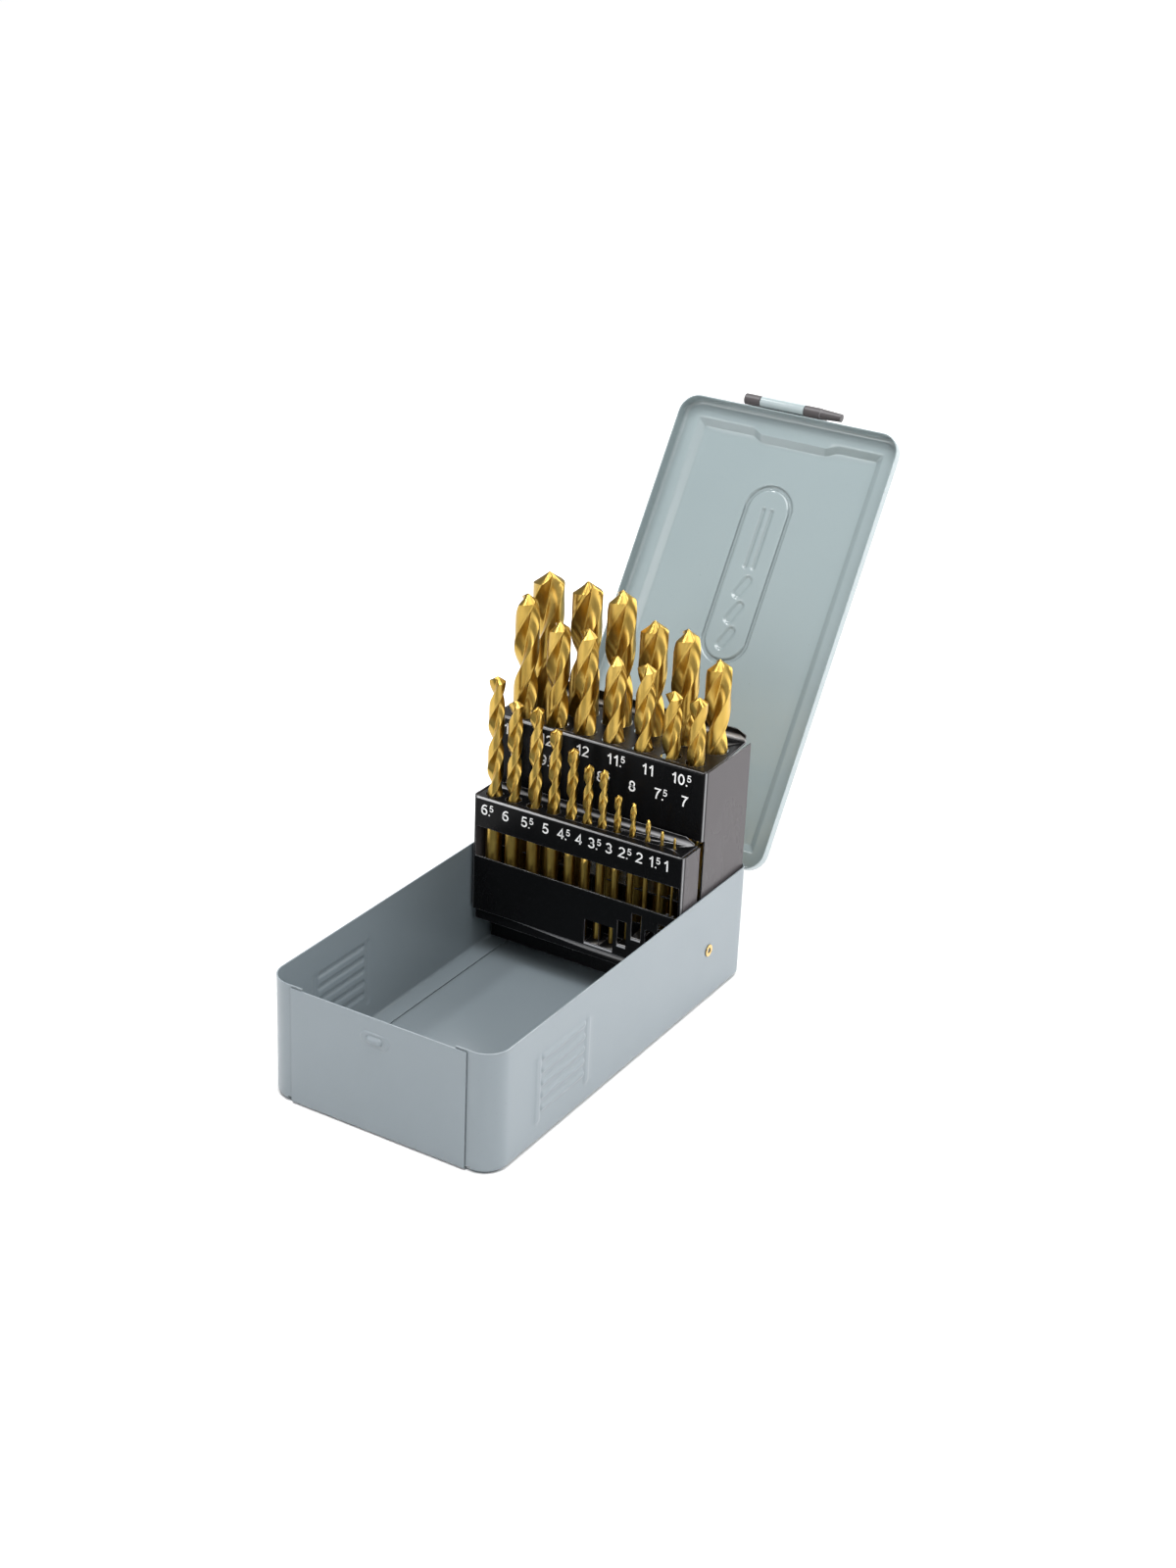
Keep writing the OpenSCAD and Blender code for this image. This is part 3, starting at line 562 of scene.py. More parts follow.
@dataclass(frozen=True)
class RackBlack:
    """Deep black enamel of the stand and the clip, with handling marks."""

    name: str
    colour: Triple
    roughness: float
    shine: float
    # Scales the grey edges, the painted sheen on the sides and the painted highlight on the folds
    gleam: float = 1.0
    edge_radius: float = 0.00035
    # Colour of the fine dust specks on the black enamel
    dust: Triple = (0.22, 0.22, 0.23)
    # Grey of the edges: partly bare metal, partly a painted highlight
    bare_edge: Triple = (0.46, 0.46, 0.47)
    # Colour of the painted sheen on the faces across X
    thin_spray: Triple = (0.072, 0.066, 0.069)
    # Colour of the painted highlight on the folds
    fold_shine: Triple = (0.34, 0.34, 0.35)
    wave_depth: float = 0.0005
    peel_depth: float = 0.00001

    def build(self) -> Material:
        """Builds the material: near black, smeared gloss, fine dust, grey edges that are partly wear and partly
        painted highlight, a painted sheen on the faces across X and a painted highlight on the folds.

        Returns:
            The material.
        """
        s = FinishSheet(self.name)
        smear = s.noise(38, 5, (1, 1, 0.4))
        dust = s.remap(s.noise(2600, 2, seed=4.0), 0.68, 0.76, 0.0, 0.10)
        colour = s.blend(dust, self.colour, self.dust)
        rounded = s.rounded(self.edge_radius)
        # Grey edges: partly wear, partly a painted highlight
        rubbed_and_lit = s.remap(s.noise(160, 4, seed=6.0), 0.4, 0.7, 0.35 * self.gleam, 0.95 * self.gleam)
        colour = s.blend(s.mul(s.edges(rounded), rubbed_and_lit), colour, self.bare_edge)
        # Painted sheen: the faces across X are painted lighter
        colour = s.blend(s.mul(s.sideways(), self.gleam), colour, self.thin_spray)
        # Painted highlight: the folds are painted pale grey and given more specular
        fold = s.folds()
        s.wire("Base Color", s.blend(s.mul(fold, 0.75 * self.gleam), colour, self.fold_shine))
        s.wire("Roughness", s.remap(smear, 0.3, 0.7, self.roughness, self.roughness + 0.14))
        s.wire("Specular IOR Level", s.remap(fold, 0.0, 1.0, self.shine, 0.7))
        s.wire("Sheen Weight", 0.04)
        s.wire("Sheen Roughness", 0.35)
        s.wire("Sheen Tint", (1.0, 0.96, 0.98, 1.0))
        wave = s.bump(s.noise(22, 1), self.wave_depth, 0.2, rounded)
        s.wire("Normal", s.bump(s.noise(700, 2, seed=1.0), self.peel_depth, 0.5, wave))
        return s.material


@dataclass(frozen=True)
class GoldCoating:
    """Gold nitride coating over ground tool steel."""

    name: str = "gold_coating"
    colour: Triple = (0.55, 0.372, 0.095)
    deep: Triple = (0.40, 0.255, 0.054)

    def build(self) -> Material:
        """Builds the material: cloudy gold with the grinding lines that ring the drill.

        Returns:
            The material.
        """
        s = FinishSheet(self.name)
        cloud = s.remap(s.noise(70, 3), 0.3, 0.7, 0.0, 1.0)
        lines = s.noise(500, 2, (0.25, 0.25, 5.0), seed=2.0)
        s.wire("Base Color", s.blend(cloud, self.colour, self.deep))
        s.wire("Metallic", 1.0)
        s.wire("Roughness", s.remap(lines, 0.3, 0.7, 0.28, 0.35))
        s.wire("Anisotropic", 0.7)
        s.wire("Tangent", s.along_z())
        s.wire("Normal", s.bump(lines, 0.000002, 0.2))
        return s.material


@dataclass(frozen=True)
class TurnedMetal:
    """Plain turned or rolled metal with fine rings: eyelets, pins and washers."""

    name: str
    colour: Triple
    dull: Triple
    roughness: float
    # Reach and darkness of the painted shade in bores and seams
    dust_reach: float = 0.0015
    dust_tone: float = 0.08

    def build(self) -> Material:
        """Builds the material: tarnish clouds, painted shade in bores and seams, and fine rings about X.

        Returns:
            The material.
        """
        s = FinishSheet(self.name)
        tarnish = s.remap(s.noise(600, 4), 0.4, 0.7, 0.0, 0.7)
        colour = s.blend(tarnish, self.colour, self.dull)
        # Painted shade: the colour darkens deep in bores and seams
        deep = s.mul(s.crevices(self.dust_reach), 0.9)
        s.wire("Base Color", s.blend(deep, colour, toned(self.dull, self.dust_tone)))
        s.wire("Metallic", 1.0)
        rings = s.noise(2500, 2, (3.0, 0.2, 0.2))
        s.wire("Roughness", s.remap(rings, 0.3, 0.7, self.roughness, self.roughness + 0.15))
        s.wire("Normal", s.bump(rings, 0.00001, 0.5, s.rounded(0.0001)))
        return s.material


@dataclass(frozen=True)
class PrintedWhite:
    """White ink of the printed sizes."""

    name: str = "printed_white"
    colour: Triple = (0.86, 0.86, 0.85)
    thin_ink: Triple = (0.66, 0.66, 0.66)

    def build(self) -> Material:
        """Builds the material: slightly uneven matt white.

        Returns:
            The material.
        """
        s = FinishSheet(self.name)
        thin = s.remap(s.noise(900, 3), 0.35, 0.7, 0.0, 1.0)
        s.wire("Base Color", s.blend(thin, self.colour, self.thin_ink))
        s.wire("Roughness", 0.5)
        s.wire("Normal", s.bump(s.noise(2200, 2), 0.00001, 0.5))
        return s.material


class Finishes:
    """Builds each finish once and paints pieces with it."""

    def __init__(self) -> None:
        """Builds the materials of every slot."""
        enamel = CaseEnamel("case_enamel", (0.172, 0.203, 0.222), (0.164, 0.195, 0.214))
        # The lid's enamel lays a stronger and wider painted shade in its seams and folds
        lid = CaseEnamel(
            "lid_enamel", (0.236, 0.287, 0.296), (0.227, 0.277, 0.287),
            roughness=0.24, coat=0.5, dust=0.85, dust_reach=0.0024,
        )
        brass = TurnedMetal("eyelet_brass", (0.74, 0.52, 0.22), (0.42, 0.27, 0.10), 0.2)
        self.by_slot: dict[PaintSlot, Material] = {
            PaintSlot.CASE: enamel.build(),
            PaintSlot.LID: lid.build(),
            PaintSlot.RACK: RackBlack("rack_enamel", (0.0025, 0.0025, 0.0028), 0.22, 0.09).build(),
            PaintSlot.CLIP: RackBlack("clip_black", (0.046, 0.040, 0.042), 0.42, 0.4, gleam=0.2).build(),
            PaintSlot.DRILL: GoldCoating().build(),
            PaintSlot.PIN: TurnedMetal("pin_steel", (0.52, 0.52, 0.53), (0.30, 0.30, 0.30), 0.3).build(),
            PaintSlot.EYELET: brass.build(),
            PaintSlot.PRINT: PrintedWhite().build(),
        }
        # Pale grey finish of the stop tabs' folds: a painted highlight on the slots' lips
        self.fold_gloss = RackBlack("fold_gloss", (0.36, 0.36, 0.37), 0.22, 0.6).build()

    def paint(self, obj: Piece, slot: PaintSlot) -> None:
        """Gives an object one finish over all its faces.

        Args:
            obj: The object.
            slot: The slot that the finish is for.
        """
        obj.data.materials.clear()
        obj.data.materials.append(self.by_slot[slot])
        obj.data.polygons.foreach_set("material_index", [0] * len(obj.data.polygons))


@dataclass
class Fitter:
    """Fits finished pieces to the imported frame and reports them."""

    finishes: Finishes
    fitted: list[str] = field(default_factory=list)

    def fit(
        self, obj: Piece, body: CaseBody, slot: PaintSlot,
        nodes: Sequence[str] = (), angle: float = SHARP_ANGLE,
    ) -> Piece:
        """Paints a piece, lets it ride on its body and hides the nodes that it stands for.

        Args:
            obj: The finished piece.
            body: The body it rides on.
            slot: The record's slot for its finish.
            nodes: The CAD nodes that it replaces.
            angle: Angle over which edges stay sharp, in degrees.

        Returns:
            The same piece.
        """
        shade_by_angle(obj, angle)
        self.finishes.paint(obj, slot)
        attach(obj, body.value)
        if nodes:
            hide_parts(*nodes)
        self.fitted.append(obj.name)
        log.info("%s rides on %s, %d faces", obj.name, body.value, len(obj.data.polygons))
        return obj

    def carry_over(self, node: str, body: CaseBody, slot: PaintSlot) -> Piece:
        """Stands a merged, smoothly shaded copy of a CAD node in for the node.

        Args:
            node: The CAD node's name.
            body: The body it rides on.
            slot: The record's slot for its finish.

        Returns:
            The copy.
        """
        mesh = frame["nodes"][node].data.copy()
        with edited(mesh) as build:
            bmesh.ops.remove_doubles(build, verts=build.verts, dist=DOUBLE_GAP / 2)
        copy = placed(f"{node}_dressed", mesh)
        shade_by_angle(copy, SHARP_ANGLE)
        copy.modifiers.new("Even", "WEIGHTED_NORMAL").keep_sharp = True
        settle_modifiers(copy)
        return self.fit(copy, body, slot, (node,))


# The case


@dataclass
class SideSheet:
    """Side sheet wrapped round the corners, with the pressed grip and the flange under the case."""

    half_w: float = 50.0
    front: float = 0.55
    rear: float = 183.45
    low: float = 0.55
    top: float = 49.6
    front_r: float = 9.6
    rear_r: float = 4.5
    bend_r: float = 1.6
    flange: float = 8.5
    front_tab_x: float = 33.5
    rear_tab_x: float = 39.7
    sheet: float = 0.5
    grip_y: float = 45.6
    grip_half: float = 16.7
    grip_low: float = 10.4
    grip_high: float = 35.4
    grip_ribs: int = 5
    grip_step_share: float = 0.3
    rib_half_width: float = 1.7
    rib_proud: float = 0.55
    rib_inset: float = 3.2
    rib_flat_share: float = 0.2
    end_bar: Pair = (1.5, 0.55)
    rib: Pair = (1.1, 1.0)
    fine_reach: float = 1.8
    fine_z: float = 1.6
    coarse_z: float = 2.0

    def plan(self) -> list[tuple[float, ...]]:
        """The sheet's way round the case.

        Returns:
            For each column x, y, the outward direction, and whether the bend and the flange are there.
        """

        def bent(x: float, y: float, r: float, angles: np.ndarray) -> list[tuple[float, ...]]:
            """Columns of an upright corner bend about (x, y)."""
            return [(x + r * cos(a), y + r * sin(a), cos(a), sin(a), 1.0, 0.0) for a in angles]

        fy, ry = self.front + self.front_r, self.rear - self.rear_r
        fx, rx = self.half_w - self.front_r, self.half_w - self.rear_r
        fine, start, end = self.fine_reach, self.grip_y - self.grip_half, self.grip_y + self.grip_half
        ys = np.concatenate([
            np.linspace(fy, start - fine - SPAN_GAP, 8),
            np.linspace(start - fine, end + fine, 120),
            np.linspace(end + fine + SPAN_GAP, ry, 50),
        ])
        return [
            *((x, self.front, 0.0, -1.0, 0.0, 0.0) for x in np.linspace(self.front_tab_x, fx, 6)),
            *bent(fx, fy, self.front_r, np.linspace(-pi / 2, 0, 22)),
            *((self.half_w, y, 1.0, 0.0, 1.0, 1.0) for y in ys),
            *bent(rx, ry, self.rear_r, np.linspace(0, pi / 2, 16)),
            *((x, self.rear, 0.0, 1.0, 0.0, 0.0) for x in np.linspace(rx, self.rear_tab_x, 6)),
        ]

    def grip(self, y: float, z: float) -> float:
        """How far the grip's pressed bars stand out at a place on the side.

        Args:
            y: The place along the case.
            z: Its height.

        Returns:
            The height of the bar there, or 0.
        """
        ends = [self.grip_y + side * self.grip_half for side in (-1, 1)]
        bars = [((end, self.grip_low), (end, self.grip_high), self.end_bar) for end in ends]
        step = (self.grip_high - self.grip_low) / (self.grip_ribs - self.grip_step_share)
        reach = self.grip_half - self.rib_inset
        for i in range(1, self.grip_ribs + 1):
            height = self.grip_low + (i - self.grip_step_share) * step
            bars.append(((self.grip_y - reach, height), (self.grip_y + reach, height), self.rib))
        out = 0.0
        for a, b, (width, share) in bars:
            distance = segment_distance(np.array(y), np.array(z), a, b)
            bar = pressed(distance, width * self.rib_half_width, share * self.rib_proud, self.rib_flat_share)
            out = max(out, float(bar))
        return out

    def build(self, name: str) -> Piece:
        """Builds the right side sheet.

        Args:
            name: The piece's name.

        Returns:
            The sheet.
        """
        r, bend_z = self.bend_r, self.low + self.bend_r
        heights = np.concatenate([
            np.linspace(self.top, self.grip_high + self.coarse_z, 8),
            np.linspace(self.grip_high + self.fine_z, self.grip_low - self.fine_z, 74),
            np.linspace(self.grip_low - self.coarse_z, bend_z, 5),
        ])
        turns = np.linspace(0, pi / 2, 7)[1:]
        reaches = np.linspace(r, self.flange, 4)[1:]
        points = []
        for x, y, nx, ny, bend, flange in self.plan():
            outs = [(self.grip(y, z) if flange else 0.0, z) for z in heights]
            outs += [(-(r * (1 - cos(a)) * bend), bend_z - r * sin(a) * bend) for a in turns]
            outs += [(-((r + (reach - r) * flange) * bend), bend_z - r * bend) for reach in reaches]
            points += [(x + nx * out, y + ny * out, z) for out, z in outs]
        cols = len(heights) + len(turns) + len(reaches)
        faces = grid_faces(len(points) // cols, cols)
        return sheet_object(name, case_frame(points), faces, Vector((1, 0, 0)), self.sheet)


@dataclass
class TraySheet:
    """Floor, front panel and rear panel from one sheet, with the pressed catch."""

    length: float = 184.0
    height: float = 48.8
    bend_r: float = 1.6
    sheet: float = 0.5
    front_w: float = 76.6
    rear_w: float = 89.0
    floor_half_w: float = 48.4
    front_r: float = 8.0
    rear_r: float = 2.9
    catch_x: float = -0.8
    catch_z: float = 40.0
    catch_w: float = 7.4
    catch_r: float = 1.5
    catch_proud: float = 1.4
    field_w: float = 13.0
    field_h: float = 6.0
    field_proud: float = 0.3
    field_edge: float = 0.6
    fine_x: float = 7.0
    fine_z: float = 3.4
    lap: float = 0.4

    def catch(self, x: float, z: float) -> float:
        """How far the catch and the field round it stand out of the front panel.

        Args:
            x: A place across the panel.
            z: Its height.

        Returns:
            The pressed height there, or 0.
        """

        def distance(half: float) -> float:
            """Distance from the level line through the catch that reaches so far to each side."""
            ends = ((self.catch_x - half, self.catch_z), (self.catch_x + half, self.catch_z))
            return float(segment_distance(np.array(x), np.array(z), *ends))

        off_field = distance((self.field_w - self.field_h) / 2)
        half_h = self.field_h / 2
        flat = self.field_proud * (1 - step_up(off_field, half_h - self.field_edge, half_h))
        off_catch = distance(self.catch_w / 2 - self.catch_r)
        dome = np.sqrt(max(self.catch_r**2 - off_catch**2, 0.0)) - (self.catch_r - self.catch_proud)
        return max(float(flat), float(dome))

    def panel(self, name: str, width: float, with_catch: bool, facing: Vector) -> Piece:
        """Builds an end panel with its bend, as if at the front.

        Args:
            name: The panel's name.
            width: Its width.
            with_catch: Whether the catch is pressed into it.
            facing: Its outer side.

        Returns:
            The panel.
        """
        xs, zs = np.linspace(-width / 2, width / 2, 30), np.linspace(self.height, self.bend_r, 16)
        if with_catch:
            left, right, fine = self.catch_x - self.fine_x, self.catch_x + self.fine_x, self.fine_z
            xs = np.concatenate([
                np.linspace(-width / 2, left - SPAN_GAP, 14),
                np.linspace(left, right, 71),
                np.linspace(right + SPAN_GAP, width / 2, 14),
            ])
            zs = np.concatenate([
                np.linspace(self.height, self.catch_z + fine + SPAN_GAP, 6),
                np.linspace(self.catch_z + fine, self.catch_z - fine, 45),
                np.linspace(self.catch_z - fine - SPAN_GAP, self.bend_r, 14),
            ])
        r, turns = self.bend_r, np.linspace(0, pi / 2, 8)[1:]
        points = []
        for x in xs:
            points += [(x, -self.catch(x, z) if with_catch else 0.0, z) for z in zs]
            points += [(x, r * (1 - cos(a)), r * (1 - sin(a))) for a in turns]
            points.append((x, r + self.lap, 0.0))
        grid = np.array(points)
        if facing.y > 0:
            grid[:, 1] = self.length - grid[:, 1]
        faces = grid_faces(len(xs), len(zs) + len(turns) + 1)
        return sheet_object(name, case_frame(grid), faces, facing, self.sheet)

    def floor(self) -> Piece:
        """Builds the floor plate with its rounded corners.

        Returns:
            The plate.
        """
        outline = []
        front, rear = self.bend_r, self.length - self.bend_r
        corners = ((1, -1, self.front_r), (1, 1, self.rear_r), (-1, 1, self.rear_r), (-1, -1, self.front_r))
        for k, (side, end, r) in enumerate(corners):
            y = front + r if end < 0 else rear - r
            start = 90 * (k - 1)
            outline += arc(side * (self.floor_half_w - r), y, r, r, start, start + 90, 12)
        points = [(x, y, z) for z in (0.0, self.sheet) for x, y in outline]
        return mesh_object("tray_floor", case_frame(points), prism_faces(len(outline)))

    def build(self) -> Piece:
        """Builds the tray as one piece.

        Returns:
            The tray.
        """
        front = self.panel("tray_front", self.front_w, True, Vector((0, -1, 0)))
        rear = self.panel("tray_rear", self.rear_w, False, Vector((0, 1, 0)))
        return joined("tray_sheet", [front, rear, self.floor()])


@dataclass
class PivotEyelet:
    """Rolled brass eyelet through a side wall and the stand's leg."""

    y: float = 153.8
    z: float = 23.4
    outer_x: float = 50.05
    inner_x: float = 47.6
    flange_r: float = 2.5
    tube_r: float = 1.8
    bore_r: float = 1.1
    lip: float = 0.5

    def outline(self) -> list[Pair]:
        """The section through the eyelet, with both flanges rolled round.

        Returns:
            Its (x, radius) points.
        """
        mid, half = (self.bore_r + self.flange_r) / 2, (self.flange_r - self.bore_r) / 2
        rolled = [
            (self.outer_x + self.lip * (0.55 + 0.45 * sin(a)), mid - half * cos(a))
            for a in np.linspace(0.2, pi - 0.2, 12)
        ]
        return [
            (self.inner_x - self.lip, self.bore_r), (self.outer_x + self.lip * 0.6, self.bore_r), *rolled,
            (self.outer_x + self.lip * 0.3, self.flange_r), (self.outer_x, self.flange_r - 0.15),
            (self.outer_x, self.tube_r), (self.inner_x, self.tube_r), (self.inner_x, self.flange_r),
            (self.inner_x - self.lip, self.flange_r),
        ]

    def build(self, name: str) -> Piece:
        """Builds the right eyelet by turning its section about X.

        Args:
            name: The piece's name.

        Returns:
            The eyelet.
        """
        section, turns = self.outline(), 48
        angles = [2 * pi * k / turns for k in range(turns)]
        points = [(x, self.y + r * cos(a), self.z + r * sin(a)) for a in angles for x, r in section]
        return mesh_object(name, case_frame(points), ring_faces(turns, len(section), wraps=True))


class CaseBase:
    """The case's fixed sheets, hinge leaf and pivots."""

    def __init__(self, fitter: Fitter) -> None:
        """Keeps the fitter."""
        self.fitter = fitter

    def build(self) -> None:
        """Builds and fits every fixed piece."""
        fit = self.fitter.fit
        fit(TraySheet().build(), CaseBody.CASE, PaintSlot.CASE, ("base_tray",))
        pairs = (
            ("side_sheet", SideSheet(), PaintSlot.CASE, "side_wall"),
            ("eyelet", PivotEyelet(), PaintSlot.EYELET, "pivot_eyelet"),
        )
        for label, maker, slot, node in pairs:
            right = maker.build(f"{label}_right")
            left = mirrored_copy(right, f"{label}_left")
            fit(right, CaseBody.CASE, slot, (f"{node}_right",))
            fit(left, CaseBody.CASE, slot, (f"{node}_left",))
        for node in ("pivot_washer_left", "pivot_washer_right", "rear_hinge_pin"):
            self.fitter.carry_over(node, CaseBody.CASE, PaintSlot.PIN)
        self.fitter.carry_over("rear_hinge_leaf", CaseBody.CASE, PaintSlot.CASE)


# The lid


@dataclass
class PressedLid:
    """Pressed lid: skirt, bend, ledge, soft step, panel with its beads, knuckles and rolled edge."""

    width: float = 102.4
    length: float = 188.3
    front: float = -1.1
    rim: float = 45.1
    top: float = 51.4
    sheet: float = 0.5
    corner_r: float = 8.5
    bend_r: float = 2.2
    ledge: float = 7.4
    slope: float = 3.0
    rise: float = 2.4
    hinge_y: float = 188.0
    hinge_z: float = 43.1
    open_angle: float = 122.9
    bead_from_front: float = 29.5
    bead_l: float = 79.0
    bead_w: float = 22.4
    bead_half_width: float = 1.4
    bead_proud: float = 0.85
    widened_from: float = -15.0
    widened_to: float = 20.0
    widened_by: float = 2.2
    knuckles: int = 7
    knuckle_l: float = 10.0
    knuckle_r: float = 1.35
    bore_r: float = 0.85
    roll_r: float = 2.35
    roll_bore_r: float = 1.85
    roll_left: float = -14.9
    roll_l: float = 20.4
    roll_z: float = 45.7
    gap: float = 0.3
    inner_inset: float = 14.0
    step_blend: float = 0.2
    corner_cells: float = 8.0
    least_corner_r: float = 1.2
    fine_margin: float = 1.5
    ledge_end: float = 0.8
    ring_inset: float = 1.1
    flat_share: float = 0.5
    line_flat_share: float = 0.3
    line_offset: float = 1.9
    line_end_share: float = 0.06
    mark_proud_share: float = 0.8
    mark_width_share: float = 1.9
    mark_reach_share: float = 0.34
    mark_lean: float = 24.0
    mark_places: Triple = (0.10, 0.30, 0.50)
    widened_fade: float = 3.0
    web_reach: float = 0.25
    strip_reach: float = 0.4
    cell: float = 1.6
    fine_cell: float = 0.42

    @property
    def mid_y(self) -> float:
        """Middle of the closed lid, from the front face."""
        return self.front + self.length / 2

    def cells(self, half: float, fine_from: float, fine_to: float) -> np.ndarray:
        """Places of the panel's grid lines across it, close together round the bead.

        Args:
            half: Half the panel's size.
            fine_from: Where the close lines start, from the panel's middle.
            fine_to: Where they end.

        Returns:
            The places.
        """
        spans = (
            (-half, fine_from, self.cell), (fine_from, fine_to, self.fine_cell), (fine_to, half, self.cell)
        )
        lines = [np.linspace(a, b, max(2, round((b - a) / size) + 1))[:-1] for a, b, size in spans]
        return np.append(np.concatenate(lines), half)

    @property
    def columns(self) -> np.ndarray:
        """The panel's grid lines across the lid."""
        reach = self.bead_w / 2 + self.fine_margin
        return self.cells(self.width / 2 - self.inner_inset, -reach, reach)

    @property
    def rows(self) -> np.ndarray:
        """The panel's grid lines along the lid.

        Returns:
            Their places from the lid's middle.
        """
        start = self.front + self.bead_from_front - self.mid_y
        end = start + self.bead_l + self.fine_margin
        return self.cells(self.length / 2 - self.inner_inset, start - self.fine_margin, end)

    def opened(self, points: np.ndarray) -> np.ndarray:
        """Turns the closed lid's points to the open pose.

        Args:
            points: Rows of x, y and z in millimetres.

        Returns:
            The same rows in metres in the object's frame.
        """
        a = radians(-self.open_angle)
        dy, dz = points[:, 1] - self.hinge_y, points[:, 2] - self.hinge_z
        y = self.hinge_y + dy * cos(a) - dz * sin(a)
        z = self.hinge_z + dy * sin(a) + dz * cos(a)
        return case_frame(np.stack([points[:, 0], y, z], axis=1))

    def profile(self) -> list[Pair]:
        """The way from the rim up over the bend, the ledge and the step.

        Returns:
            Its (inset, height) points.
        """
        r, blend = self.bend_r, self.step_blend
        way = [(0.0, z) for z in np.linspace(self.rim, self.top - r, 4)]
        way += [(r * (1 - cos(a)), self.top - r * (1 - sin(a))) for a in np.linspace(0, pi / 2, 8)[1:]]
        way += [(d, self.top) for d in np.linspace(r, self.ledge - self.ledge_end, 5)[1:]]
        near = np.linspace(-blend, blend, 15)
        for d in np.linspace(self.ledge - blend, self.ledge + self.slope + blend, 13):
            share = np.mean([np.clip((d + t - self.ledge) / self.slope, 0, 1) for t in near])
            way.append((float(d), self.top + self.rise * float(share)))
        return [*way, (self.inner_inset, self.top + self.rise)]

    def beads(self, x: np.ndarray, y: np.ndarray) -> np.ndarray:
        """Height of the oblong bead and the plain marks inside it.

        Args:
            x: Places across the lid.
            y: Places along it, from the case's front.

        Returns:
            The height at each place.
        """
        mid = self.front + self.bead_from_front + self.bead_l / 2
        straight = self.bead_l - self.bead_w
        ring = self.bead_w / 2 - self.ring_inset
        lower, proud = mid - straight / 2, self.mark_proud_share * self.bead_proud
        spine = segment_distance(x, y, (0, lower), (0, mid + straight / 2))
        out = pressed(np.abs(spine - ring), self.bead_half_width, self.bead_proud, self.flat_share)
        for place in (-self.line_offset, self.line_offset):
            line = segment_distance(x, y, (place, lower), (place, mid - straight * self.line_end_share))
            out = np.maximum(out, pressed(line, self.bead_half_width, proud, self.line_flat_share))
        lean, reach = radians(self.mark_lean), ring * self.mark_reach_share
        dx, dy = reach * sin(lean), reach * cos(lean)
        for share in self.mark_places:
            cy = mid + straight * share
            mark = segment_distance(x, y, (-dx, cy + dy), (dx, cy - dy))
            half_width = self.mark_width_share * self.bead_half_width
            out = np.maximum(out, pressed(mark, half_width, proud, self.flat_share))
        return out

    def widening(self, x: float, y: float, inset: float) -> float:
        """How far the step at the free edge lies further in, beside the clip.

        Args:
            x: A place across the lid.
            y: The place along it, from its middle.
            inset: How far inside the rim the ring of points lies.

        Returns:
            The shift inwards.
        """
        if y > -self.length / 2 + self.inner_inset + 2 or not self.ledge < inset < self.inner_inset:
            return 0.0
        begins, ends = (
            float(step_up(x, at - self.widened_fade, at + self.widened_fade))
            for at in (self.widened_from, self.widened_to)
        )
        return self.widened_by * (begins * (1 - ends))

    def edge_way(self, inset: float) -> list[Pair]:
        """Points round the lid at an inset, matching the inner panel's edge cells.

        Args:
            inset: How far inside the rim they lie.

        Returns:
            Their x and y from the lid's middle.
        """
        big_x, big_y = self.width / 2 - inset, self.length / 2 - inset
        r = max(self.corner_r - inset, self.least_corner_r) if inset < self.inner_inset else 0.0

        def place(s: float, half: float, big: float) -> Pair:
            """Place of a grid line's end along a side, drawn in where the corner is round.

            Args:
                s: The line's place on the panel.
                half: Half the panel's size.
                big: Half the size of the ring of points.

            Returns:
                The place, and how far the corner draws it in.
            """
            inner = half - self.corner_cells
            over = (abs(s) - inner) / self.corner_cells
            if r == 0.0:
                return s / half * big, 0.0
            if over <= 0:
                return s / inner * (big - r), 0.0
            a = radians(45 * over)
            return math.copysign(1.0, s) * (big - r + r * sin(a)), r * (1 - cos(a))

        across = [place(s, self.width / 2 - self.inner_inset, big_x) for s in self.columns]
        along = [place(s, self.length / 2 - self.inner_inset, big_y) for s in self.rows]
        return [
            *((x, drop - big_y) for x, drop in across[:-1]),
            *((big_x - drop, y) for y, drop in along[:-1]),
            *((x, big_y - drop) for x, drop in across[:0:-1]),
            *((drop - big_x, y) for y, drop in along[:0:-1]),
        ]

    def shell(self) -> Piece:
        """Builds the pressed shell as one sheet with its thickness.

        Returns:
            The shell.
        """
        points: list[Triple] = []
        rings = self.profile()
        for inset, z in rings:
            way = self.edge_way(inset)
            points += [(x, self.mid_y + y + self.widening(x, y, inset), z) for x, y in way]
        faces = ring_faces(len(rings), len(way))
        gx, gy = np.meshgrid(self.columns, self.mid_y + self.rows, indexing="ij")
        gz = self.top + self.rise + self.beads(gx, gy)
        faces += grid_faces(*gx.shape, len(points))
        points += list(zip(gx.ravel(), gy.ravel(), gz.ravel()))
        a = radians(-self.open_angle)
        facing = Vector((0, -sin(a), cos(a)))
        return sheet_object("lid_panel", self.opened(np.array(points)), faces, facing, self.sheet)

    def curl(self, centre: Pair, outer: float, inner: float, start: float, sweep: float) -> list[Pair]:
        """Section of a rolled sheet edge round a pin.

        Args:
            centre: The pin's (y, z).
            outer: Outer radius of the roll.
            inner: Its bore radius.
            start: Angle where the roll starts, in degrees.
            sweep: How far it goes round.

        Returns:
            The closed outline.
        """
        sides = [arc(*centre, r, r, start, start + sweep, 40) for r in (outer, inner)]
        return sides[0] + sides[1][::-1]

    def rolled_parts(self) -> list[Piece]:
        """Builds the four rear knuckles and the roll at the free edge.

        Returns:
            The knuckles and the roll, each with the strip that holds it.
        """
        parts = []

